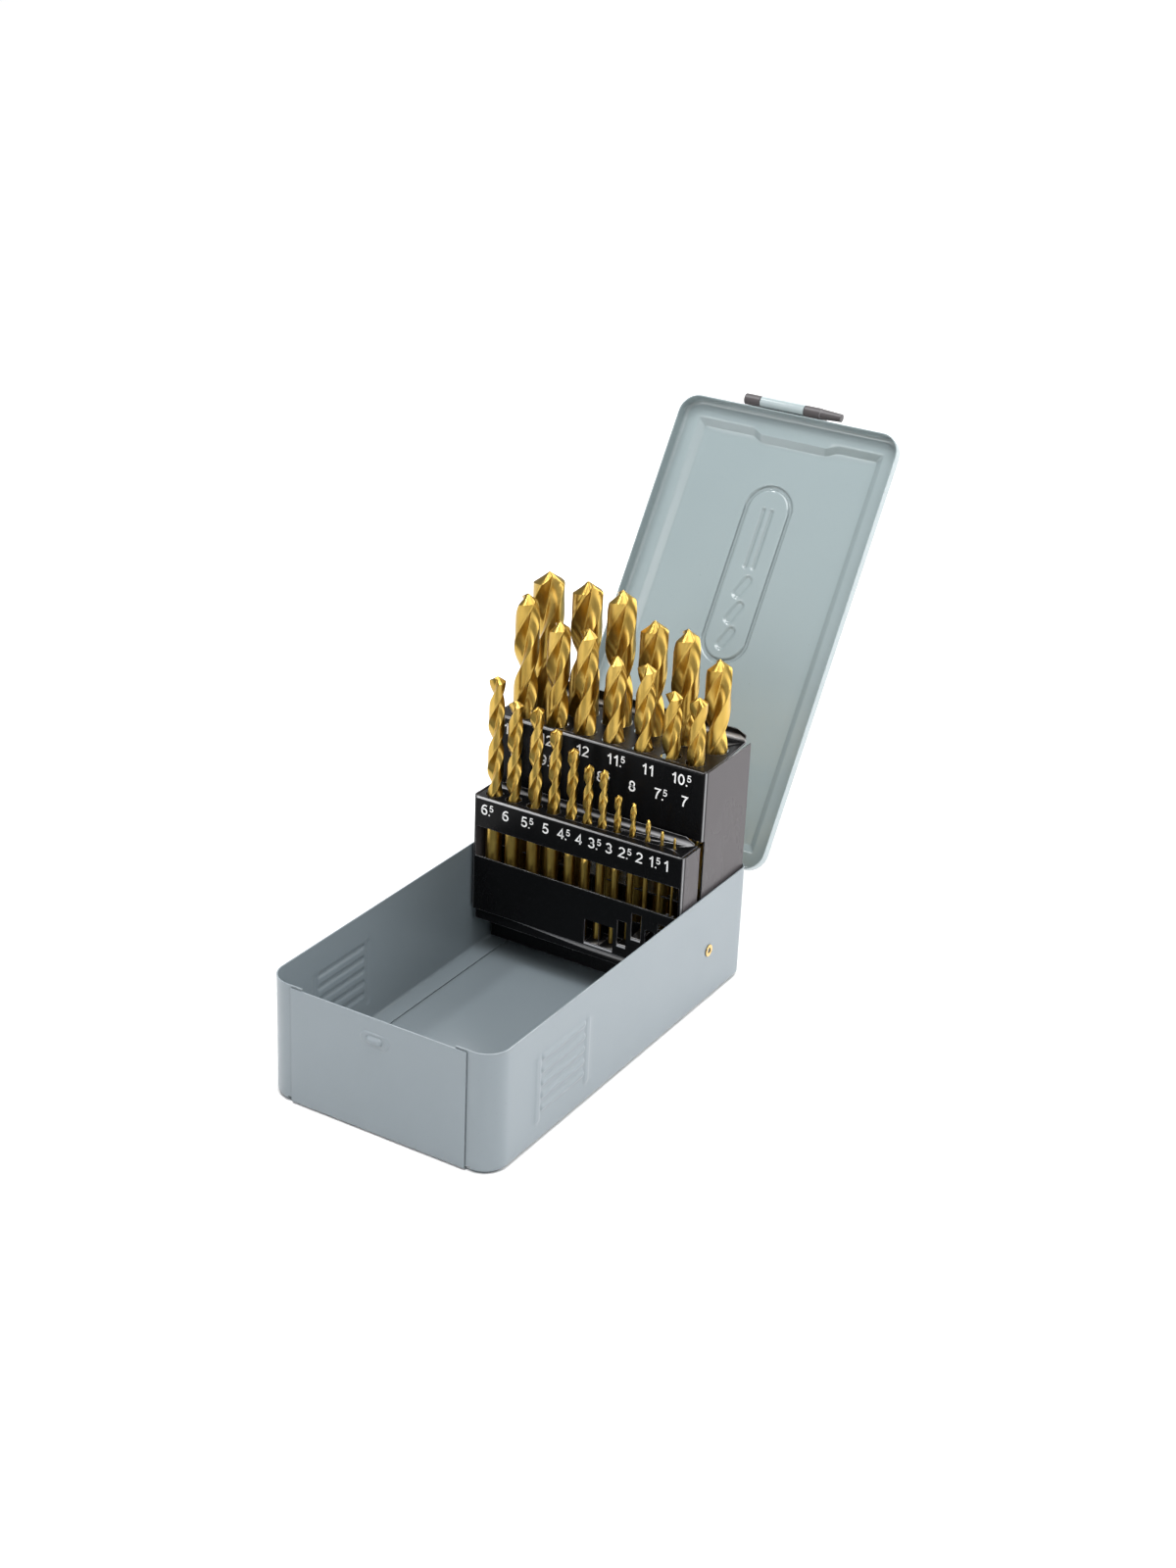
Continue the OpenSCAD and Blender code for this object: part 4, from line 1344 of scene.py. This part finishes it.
        def roll(label: str, tube: list[Pair], strip: tuple[Pair, Pair], x0: float, x1: float) -> None:
            """Adds a rolled tube and the strip between two corners that holds it."""
            (y0, z0), (y1, z1) = strip
            for outline in (tube, [(y0, z0), (y1, z0), (y1, z1), (y0, z1)]):
                points, faces = bar_along_x(outline, x0, x1)
                parts.append(mesh_object(label, self.opened(points), faces))

        rear = self.front + self.length
        tube = self.curl((self.hinge_y, self.hinge_z), self.knuckle_r, self.bore_r, 180, 345)
        strip = ((rear - self.sheet, self.hinge_z), (rear, self.rim + self.strip_reach))
        for i in range(0, self.knuckles, 2):
            x0 = -self.knuckles * self.knuckle_l / 2 + i * self.knuckle_l + self.gap / 2
            roll("knuckle", tube, strip, x0, x0 + self.knuckle_l - self.gap)
        roll_y, top = self.front - self.roll_r - self.gap, self.roll_z + self.roll_r
        tube = self.curl((roll_y, self.roll_z), self.roll_r, self.roll_bore_r, 90, 330)
        strip = ((roll_y, top), (self.front + self.web_reach, top - self.sheet))
        roll("roll", tube, strip, self.roll_left, self.roll_left + self.roll_l)
        return parts

    def build(self, fitter: Fitter) -> None:
        """Builds and fits the lid, its pin and the clip.

        Args:
            fitter: Fits the pieces to the frame.
        """
        shell = joined("lid_pressing", [self.shell(), *self.rolled_parts()])
        fitter.fit(shell, CaseBody.LID, PaintSlot.LID, ("lid_shell",))
        fitter.carry_over("latch_clip", CaseBody.CLIP, PaintSlot.CLIP)
        fitter.carry_over("latch_pin", CaseBody.CLIP, PaintSlot.PIN)


# The drills


@dataclass(frozen=True)
class DrillPlan:
    """What a drill's name and box in the frame give of its size and place."""

    node: str
    diameter: float
    length: float
    flute_l: float
    foot: Vector


class TwistDrillTree:
    """Geometry Nodes tree of a right-hand twist drill, standing on its shank."""

    INPUTS = {
        "Diameter": "Float", "Length": "Float", "Flute Length": "Float", "Lead": "Float",
        "Point Slope": "Float", "Flute Rows": "Int", "Point Rows": "Int", "Foot": "Vector",
    }
    SHANK_ROWS = 5
    POINT_ROWS = 6
    ROWS_PER_TURN = 36
    COLUMNS = 121
    # Radius and point relief round half a section, from one cutting edge to the next
    SECTION = (
        (0.0, 1.0), (0.04, 0.77), (0.09, 0.56), (0.15, 0.40), (0.21, 0.30), (0.27, 0.26), (0.33, 0.26),
        (0.39, 0.31), (0.45, 0.42), (0.50, 0.58), (0.545, 0.78), (0.58, 0.95), (0.59, 0.965), (0.93, 0.965),
        (0.945, 1.0), (1.0, 1.0),
    )
    RELIEF = ((0.0, 0.0), (0.30, 0.10), (0.52, 0.22), (0.60, 0.20), (0.92, 0.03), (1.0, 0.0))
    EDGE_SHARE = 0.05
    RUN_OUT_SHARE = 1.3
    POINT_MARGIN = 1.02

    def __init__(self, material: Material) -> None:
        """Builds the tree with its finish.

        Args:
            material: The drills' finish.
        """
        self.tree = bpy.data.node_groups.new("TwistDrill", "GeometryNodeTree")
        new_socket = self.tree.interface.new_socket
        self.ids = {
            name: new_socket(name=name, in_out="INPUT", socket_type=f"NodeSocket{kind}").identifier
            for name, kind in self.INPUTS.items()
        }
        new_socket(name="Geometry", in_out="OUTPUT", socket_type="NodeSocketGeometry")
        self.wire(material)

    @staticmethod
    def curve(sheet: NodeSheet, value: Socket, marks: Sequence[Pair]) -> Socket:
        """Adds a float curve through the marks.

        Args:
            sheet: The tree's nodes.
            value: The curve's input.
            marks: Its points from 0 to 1.

        Returns:
            The curve's output.
        """
        node = sheet.add("ShaderNodeFloatCurve", {"Value": value})
        line = node.mapping.curves[0]
        line.points[0].location, line.points[-1].location = marks[0], marks[-1]
        for x, y in marks[1:-1]:
            line.points.new(x, y)
        for point in line.points:
            point.handle_type = "AUTO" if 0.05 < point.location.x < 0.56 else "VECTOR"
        node.mapping.update()
        return node.outputs[0]

    def wire(self, material: Material) -> None:
        """Lays out the nodes: a grid wound into shank, flutes and ground point.

        Args:
            material: The drills' finish.
        """
        s = NodeSheet(self.tree)
        given = s.add("NodeGroupInput").outputs
        d, length, flute, lead, slope, flute_rows, point_rows, foot = (given[name] for name in self.INPUTS)
        start = float(self.SHANK_ROWS)
        rows = s.plus(s.plus(flute_rows, point_rows), start)
        size = {"Size X": 1.0, "Size Y": 1.0, "Vertices X": s.plus(rows, 1.0), "Vertices Y": self.COLUMNS}
        grid = s.add("GeometryNodeMeshGrid", size).outputs["Mesh"]
        spot = s.add("ShaderNodeSeparateXYZ", {0: s.add("GeometryNodeInputPosition").outputs[0]}).outputs
        row = s.math("ROUND", s.mul(s.plus(spot[0], 0.5), rows))
        turn = s.plus(spot[1], 0.5)
        half = s.math("FRACT", s.mul(turn, 2.0))
        shares, relief = (self.curve(s, half, marks) for marks in (self.SECTION, self.RELIEF))
        r, shank, edge = s.mul(d, 0.5), s.minus(length, flute), s.mul(d, self.EDGE_SHARE)
        bevel = s.remap(row, 1.0, 2.0, 0.0, edge)
        full_r = s.plus(s.remap(row, 0.0, 1.0, 0.0, s.minus(r, edge)), bevel)
        body_h = s.minus(flute, s.mul(s.mul(r, slope), self.POINT_MARGIN))
        last = s.plus(flute_rows, start)
        z_shank = s.plus(bevel, s.remap(row, 2.0, start, 0.0, s.minus(shank, edge)))
        z_body = s.plus(z_shank, s.remap(row, start, last, 0.0, body_h))
        run_out = s.plus(shank, s.mul(d, self.RUN_OUT_SHARE))
        fade = s.remap(z_body, shank, run_out, 0.0, 1.0, "SMOOTHSTEP")
        share = s.minus(1.0, s.mul(fade, s.minus(1.0, shares)))
        narrow = s.remap(row, last, s.plus(last, point_rows), 1.0, 0.0)
        radius = s.mul(s.mul(full_r, share), narrow)
        ground = s.mul(s.mul(relief, r), narrow)
        z_point = s.minus(s.minus(length, s.mul(radius, slope)), ground)
        on_point = s.math("GREATER_THAN", row, s.minus(last, 0.5))
        z = s.plus(s.mul(on_point, z_point), s.mul(s.minus(1.0, on_point), z_body))
        wound = s.math("DIVIDE", s.math("MAXIMUM", s.minus(z, shank), 0.0), lead)
        angle = s.mul(s.plus(turn, wound), 2 * pi)
        x, y = (s.mul(radius, s.math(kind, angle)) for kind in ("COSINE", "SINE"))
        place = s.add("ShaderNodeCombineXYZ", {0: x, 1: y, 2: z}).outputs[0]
        place = s.add("ShaderNodeVectorMath", {0: place, 1: foot}, operation="ADD").outputs[0]
        shaped = s.add("GeometryNodeSetPosition", {"Geometry": grid, "Position": place}).outputs[0]
        merged = s.add("GeometryNodeMergeByDistance", {"Geometry": shaped, "Distance": DOUBLE_GAP}).outputs[0]
        real = s.add("GeometryNodeRealizeInstances", {"Geometry": merged}).outputs[0]
        painted = s.add("GeometryNodeSetMaterial", {"Geometry": real, "Material": material}).outputs[0]
        s.add("NodeGroupOutput", {0: painted})

    def make(self, plan: DrillPlan, helix: float, point: float) -> Piece:
        """Makes one drill as a plain mesh.

        Args:
            plan: Its size and place.
            helix: Helix angle of the flutes, in degrees.
            point: Angle of the point, in degrees.

        Returns:
            The drill.
        """
        obj = placed(f"{plan.node}_ground", bpy.data.meshes.new(plan.node))
        modifier = obj.modifiers.new("TwistDrill", "NODES")
        modifier.node_group = self.tree
        lead = pi * plan.diameter / math.tan(radians(helix))
        flute_rows = math.ceil(plan.flute_l / lead * self.ROWS_PER_TURN)
        slope = 1 / math.tan(radians(point / 2))
        sizes = (
            plan.diameter, plan.length, plan.flute_l, lead, slope, flute_rows, self.POINT_ROWS, plan.foot
        )
        for identifier, value in zip(self.ids.values(), sizes):
            modifier[identifier] = value
        settle_modifiers(obj)
        with edited(obj.data) as build:
            bmesh.ops.recalc_face_normals(build, faces=build.faces)
        return obj


# The stand


# Strokes of plain digits in a cell one unit high, each with whether it closes on itself
DIGIT_STROKES: dict[str, list[tuple[list[Pair], bool]]] = {
    "0": [(arc(0.31, 0.5, 0.215, 0.43, 0, 345, 24), True)],
    "1": [([(0.12, 0.72), (0.24, 0.80), (0.34, 0.95), (0.36, 0.95), (0.36, 0.0)], False)],
    "2": [([*arc(0.31, 0.69, 0.215, 0.24, 165, -38), (0.16, 0.20), (0.07, 0.07), (0.56, 0.07)], False)],
    "3": [
        ([*arc(0.29, 0.71, 0.195, 0.22, 160, -80, 12), (0.24, 0.50)], False),
        ([(0.28, 0.50), *arc(0.29, 0.285, 0.23, 0.22, 75, -160)], False),
    ],
    "4": [([(0.43, 0.0), (0.43, 0.93), (0.07, 0.27), (0.58, 0.27)], False)],
    "5": [([(0.53, 0.93), (0.20, 0.93), (0.13, 0.49), *arc(0.305, 0.33, 0.225, 0.26, 125, -155)], False)],
    "6": [
        (arc(0.32, 0.32, 0.215, 0.255, 0, 340, 18), True),
        (arc(0.39, 0.42, 0.285, 0.51, 60, 185), False),
    ],
    "7": [([(0.07, 0.93), (0.55, 0.93), (0.36, 0.62), (0.25, 0.30), (0.22, 0.0)], False)],
    "8": [(arc(0.31, 0.72, 0.185, 0.21, 0, 340, 18), True), (arc(0.31, 0.29, 0.22, 0.225, 0, 340, 18), True)],
    "9": [
        (arc(0.30, 0.67, 0.215, 0.255, 0, 340, 18), True),
        (arc(0.23, 0.57, 0.285, 0.51, 5, -120), False),
    ],
    ".": [([(0.10, 0.0), (0.10, 0.13)], False)],
}
DIGIT_ADVANCE = {sign: 0.56 if sign == "1" else 0.66 for sign in DIGIT_STROKES}


@dataclass
class DrillStand:
    """The folding stand with its printed sizes and the drills in their rows."""

    fitter: Fitter
    helix: float = 28.0
    point: float = 118.0
    front_plate_y: float = 131.8
    rear_plate_y: float = 145.8
    digit_h: float = 4.5
    small_digit_share: float = 0.64
    front_print_z: float = 67.2
    upper_print_z: float = 97.7
    lower_print_z: float = 88.9
    print_proud: float = 0.06
    stroke_share: float = 0.140
    half_advance: float = 0.75
    half_raised: float = 0.3
    half_gap: float = 0.45
    lower_shift: float = 0.3
    upper_shift: float = 2.3
    front_drills: int = 12
    middle_drills: int = 7
    drill_sharp_angle: float = 40.0
    print_sharp_angle: float = 30.0
    fold_proud: float = 0.06
    digit_spread: float = 1.18
    fold_r: float = 0.55
    folds: tuple[Triple, ...] = (
        (5.6, 18.6, 23.1), (20.6, 24.5, 26.7), (26.8, 31.1, 31.6),
    )
    flute_shares: tuple[float, ...] = (
        0.353, 0.450, 0.490, 0.502, 0.508, 0.528, 0.573, 0.588, 0.605, 0.613, 0.613, 0.624,
        0.633, 0.633, 0.641, 0.641, 0.648, 0.648, 0.654, 0.654, 0.662, 0.662, 0.669, 0.669, 0.669,
    )

    def drill_plans(self) -> list[DrillPlan]:
        """Reads each drill's size and place from the frame.

        Returns:
            The drills from the smallest to the largest.
        """

        def size(node: str) -> float:
            """Diameter in millimetres, from a drill's name."""
            return float(node.removeprefix("drill_").replace("_", "."))

        plans = []
        names = sorted((n for n in frame["nodes"] if n.startswith("drill_")), key=size)
        for node, share in zip(names, self.flute_shares):
            low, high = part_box(node)
            length = high.z - low.z
            foot = Vector(((low.x + high.x) / 2, (low.y + high.y) / 2, low.z))
            plans.append(DrillPlan(node, size(node) * MM, length, length * share, foot))
        return plans

    def digits(self, text: str, height: float, x: float, y: float, z: float) -> Piece:
        """One printed text on a plate that faces the front.

        Args:
            text: The digits.
            height: Height of a digit in millimetres.
            x: Left edge in millimetres.
            y: The plate's front face, from the case's front.
            z: The digits' foot.

        Returns:
            The text as a mesh.
        """
        parts = []
        for sign in text:
            for way, closed in DIGIT_STROKES[sign]:
                line = np.array(way) * (height * self.digit_spread, height) + np.array([x, z])
                parts.append(self.stroke(line, closed, height * self.stroke_share / 2, y))
            x += height * self.digit_spread * DIGIT_ADVANCE[sign]
        return joined("size_digits", parts)

    def stroke(self, line: np.ndarray, closed: bool, half: float, y: float) -> Piece:
        """One stroke of even width, lying on a plate.

        Args:
            line: Its (x, z) points in millimetres.
            closed: Whether it closes on itself.
            half: Half its width.
            y: The plate's front face, from the case's front.

        Returns:
            The stroke.
        """
        ahead, back = np.roll(line, -1, axis=0) - line, line - np.roll(line, 1, axis=0)
        if not closed:
            ahead[-1], back[0] = back[-1], ahead[0]
        ahead, back = (way / np.linalg.norm(way, axis=1)[:, None] for way in (ahead, back))
        mid = ahead + back
        mid /= np.linalg.norm(mid, axis=1)[:, None]
        side, across = (np.stack([-way[:, 1], way[:, 0]], axis=1) for way in (mid, back))
        out = side * (half / np.clip((side * across).sum(axis=1), 0.5, 1))[:, None]
        rails = (line + out, line - out)
        points = [(x, depth, z) for depth in (y - self.print_proud, y) for rail in rails for x, z in rail]
        n = len(line)
        faces: list[Face] = []
        for i in range(n if closed else n - 1):
            j = (i + 1) % n
            faces += [(i, j, n + j, n + i), (2 * n + i, 3 * n + i, 3 * n + j, 2 * n + j)]
            faces += [(i, 2 * n + i, 2 * n + j, j), (n + i, n + j, 3 * n + j, 3 * n + i)]
        if not closed:
            faces += [(0, n, 3 * n, 2 * n), (n - 1, 3 * n - 1, 4 * n - 1, 2 * n - 1)]
        return mesh_object("stroke", case_frame(points), faces)

    def tab_fold(self, left: float, right: float, z: float) -> Piece:
        """The rounded fold where a stop tab leaves the front plate, at the foot of its slot.

        Args:
            left: Its left end in millimetres.
            right: Its right end.
            z: The slot's foot.

        Returns:
            The fold.
        """
        r, front = self.fold_r, self.front_plate_y
        way = [(front + r - r * cos(a), z - r + r * sin(a)) for a in np.linspace(0, pi / 2, 8)]
        points, faces = bar_along_x([*way, (front + r, z - 2 * r), (front, z - 2 * r)], left, right)
        return mesh_object("tab_fold", case_frame(points - np.array([0, self.fold_proud, 0])), faces)

    def size_print(self, plans: Iterable[DrillPlan], y: float, z: float, shift: float = 0.0) -> list[Piece]:
        """Prints the sizes of a row of drills, with a small raised 5 for the half ones.

        Args:
            plans: The drills.
            y: The plate's front face, from the case's front.
            z: Height of the digits' middle.
            shift: How far the print stands left of the drills.

        Returns:
            The digits.
        """
        parts = []
        height, small_h = self.digit_h, self.digit_h * self.small_digit_share
        foot = z - height / 2
        for plan in plans:
            size = plan.diameter / MM
            whole, is_half = str(int(size)), size > int(size)
            width = sum(DIGIT_ADVANCE[sign] for sign in whole) * height * self.digit_spread
            half_width = (width + (small_h * self.half_advance if is_half else 0.0)) / 2
            left = plan.foot.x / MM - shift - half_width
            parts.append(self.digits(whole, height, left, y, foot))
            if is_half:
                right, raised = left + width, foot + height - small_h + self.half_raised
                parts.append(self.digits("5", small_h, right + self.half_gap, y, raised))
                parts.append(self.digits(".", height, right, y, foot))
        return parts

    def build(self) -> None:
        """Builds and fits the stand."""
        fitter = self.fitter
        for node in ("front_rack", "front_rack_floor", "rear_rack", "shank_guide", "shank_tray"):
            fitter.carry_over(node, CaseBody.STAND, PaintSlot.RACK)
        folds = joined("tab_folds", [self.tab_fold(*fold) for fold in self.folds])
        fitter.fit(folds, CaseBody.STAND, PaintSlot.RACK)
        # The tab folds take the pale grey finish, a painted highlight
        folds.data.materials[0] = fitter.finishes.fold_gloss
        tree = TwistDrillTree(fitter.finishes.by_slot[PaintSlot.DRILL])
        plans = self.drill_plans()
        for plan in plans:
            drill = tree.make(plan, self.helix, self.point)
            fitter.fit(drill, CaseBody.STAND, PaintSlot.DRILL, (plan.node,), self.drill_sharp_angle)
        upper = self.front_drills + self.middle_drills
        front, middle, rear = plans[:self.front_drills], plans[self.front_drills:upper], plans[upper:]
        rows = {
            "front_sizes": self.size_print(front, self.front_plate_y, self.front_print_z),
            "rear_sizes": [
                *self.size_print(middle, self.rear_plate_y, self.lower_print_z, self.lower_shift),
                *self.size_print(rear, self.rear_plate_y, self.upper_print_z, self.upper_shift),
            ],
        }
        for name, parts in rows.items():
            fitter.fit(joined(name, parts), CaseBody.STAND, PaintSlot.PRINT, (), self.print_sharp_angle)


# The studio


@dataclass
class Studio:
    """Pale floor, soft lights and the camera at the photograph's angle."""

    camera_at: Triple = (0.4470, -0.7066, 0.5009)
    right: Triple = (0.84992, 0.52546, 0.03906)
    up: Triple = (-0.25444, 0.34437, 0.90369)
    back: Triple = (0.46140, -0.77801, 0.42639)
    lens: float = 57.076
    sensor: float = 36.0
    floor_reach: float = 12.0
    floor_drop: float = 0.00002
    paper: Triple = (0.82, 0.82, 0.82)
    paper_shade: Triple = (0.80, 0.80, 0.805)

    def floor(self) -> None:
        """Lays the pale floor that fills the view."""
        ends = (-self.floor_reach, self.floor_reach)
        points = np.array([(x, y, -self.floor_drop) for x in ends for y in ends])
        obj = mesh_object("studio_floor", points, [(0, 2, 3, 1)], Vector((0, 0, 1)))
        sheet = FinishSheet("floor_paper")
        sheet.wire("Base Color", sheet.blend(sheet.noise(3, 3), self.paper, self.paper_shade))
        sheet.wire("Roughness", 0.75)
        obj.data.materials.append(sheet.material)

    def softbox(
        self,
        name: str,
        at: Triple,
        size: Pair,
        power: float,
        aim: Triple = (0.0, 0.02, 0.08),
    ) -> None:
        """Hangs a soft light.

        Args:
            name: The light's name.
            at: Its place in metres.
            size: Its width and height.
            power: Its power in watts.
            aim: The place that it faces.
        """
        light = bpy.data.lights.new(name, "AREA")
        light.shape, light.size, light.size_y, light.energy = "RECTANGLE", size[0], size[1], power
        obj = placed(name, light)
        obj.location = at
        obj.rotation_euler = (Vector(aim) - Vector(at)).to_track_quat("-Z", "Y").to_euler()

    def build(self) -> None:
        """Sets up the floor, the lights, the sky and the camera."""
        self.floor()
        world = bpy.data.worlds.new("studio_sky")
        world.use_nodes = True
        sky = world.node_tree.nodes["Background"]
        sky.inputs["Color"].default_value = (0.97, 0.985, 1.0, 1.0)
        sky.inputs["Strength"].default_value = 0.30
        bpy.context.scene.world = world
        bpy.context.scene.view_settings.view_transform = "Standard"
        self.softbox("key_top", (0.25, -0.35, 1.7), (1.3, 1.1), 33)
        self.softbox("card_right", (1.15, 0.95, 0.45), (1.6, 0.9), 13)
        self.softbox("fill_right", (1.3, -0.9, 0.8), (0.8, 0.8), 7)
        self.softbox("fill_left", (-0.7, -1.5, 0.8), (0.7, 0.7), 8)
        self.softbox("edge_light", (-0.70, -0.22, 1.4), (0.25, 0.12), 6)
        self.softbox("backdrop", (-0.7, 2.4, 2.2), (2.6, 1.6), 90, (-0.6, 2.6, 0.0))
        self.softbox("floor_right", (0.9, 1.0, 1.1), (0.8, 0.8), 9, (0.45, 0.45, 0.0))
        data = bpy.data.cameras.new("photo_camera")
        data.lens, data.sensor_width, data.sensor_fit = self.lens, self.sensor, "AUTO"
        data.clip_start, data.clip_end = 0.05, 60.0
        camera = placed("photo_camera", data)
        columns = Matrix((self.right, self.up, self.back)).transposed()
        camera.matrix_world = Matrix.Translation(self.camera_at) @ columns.to_4x4()
        bpy.context.scene.camera = camera


def main() -> None:
    """Builds the studio and the dressed case, piece by piece."""
    logging.basicConfig(level=logging.INFO, format="%(name)s: %(message)s")
    fitter = Fitter(Finishes())
    Studio().build()
    CaseBase(fitter).build()
    PressedLid().build(fitter)
    DrillStand(fitter).build()
    log.info("%d pieces fitted", len(fitter.fitted))


if __name__ == "__main__":
    main()
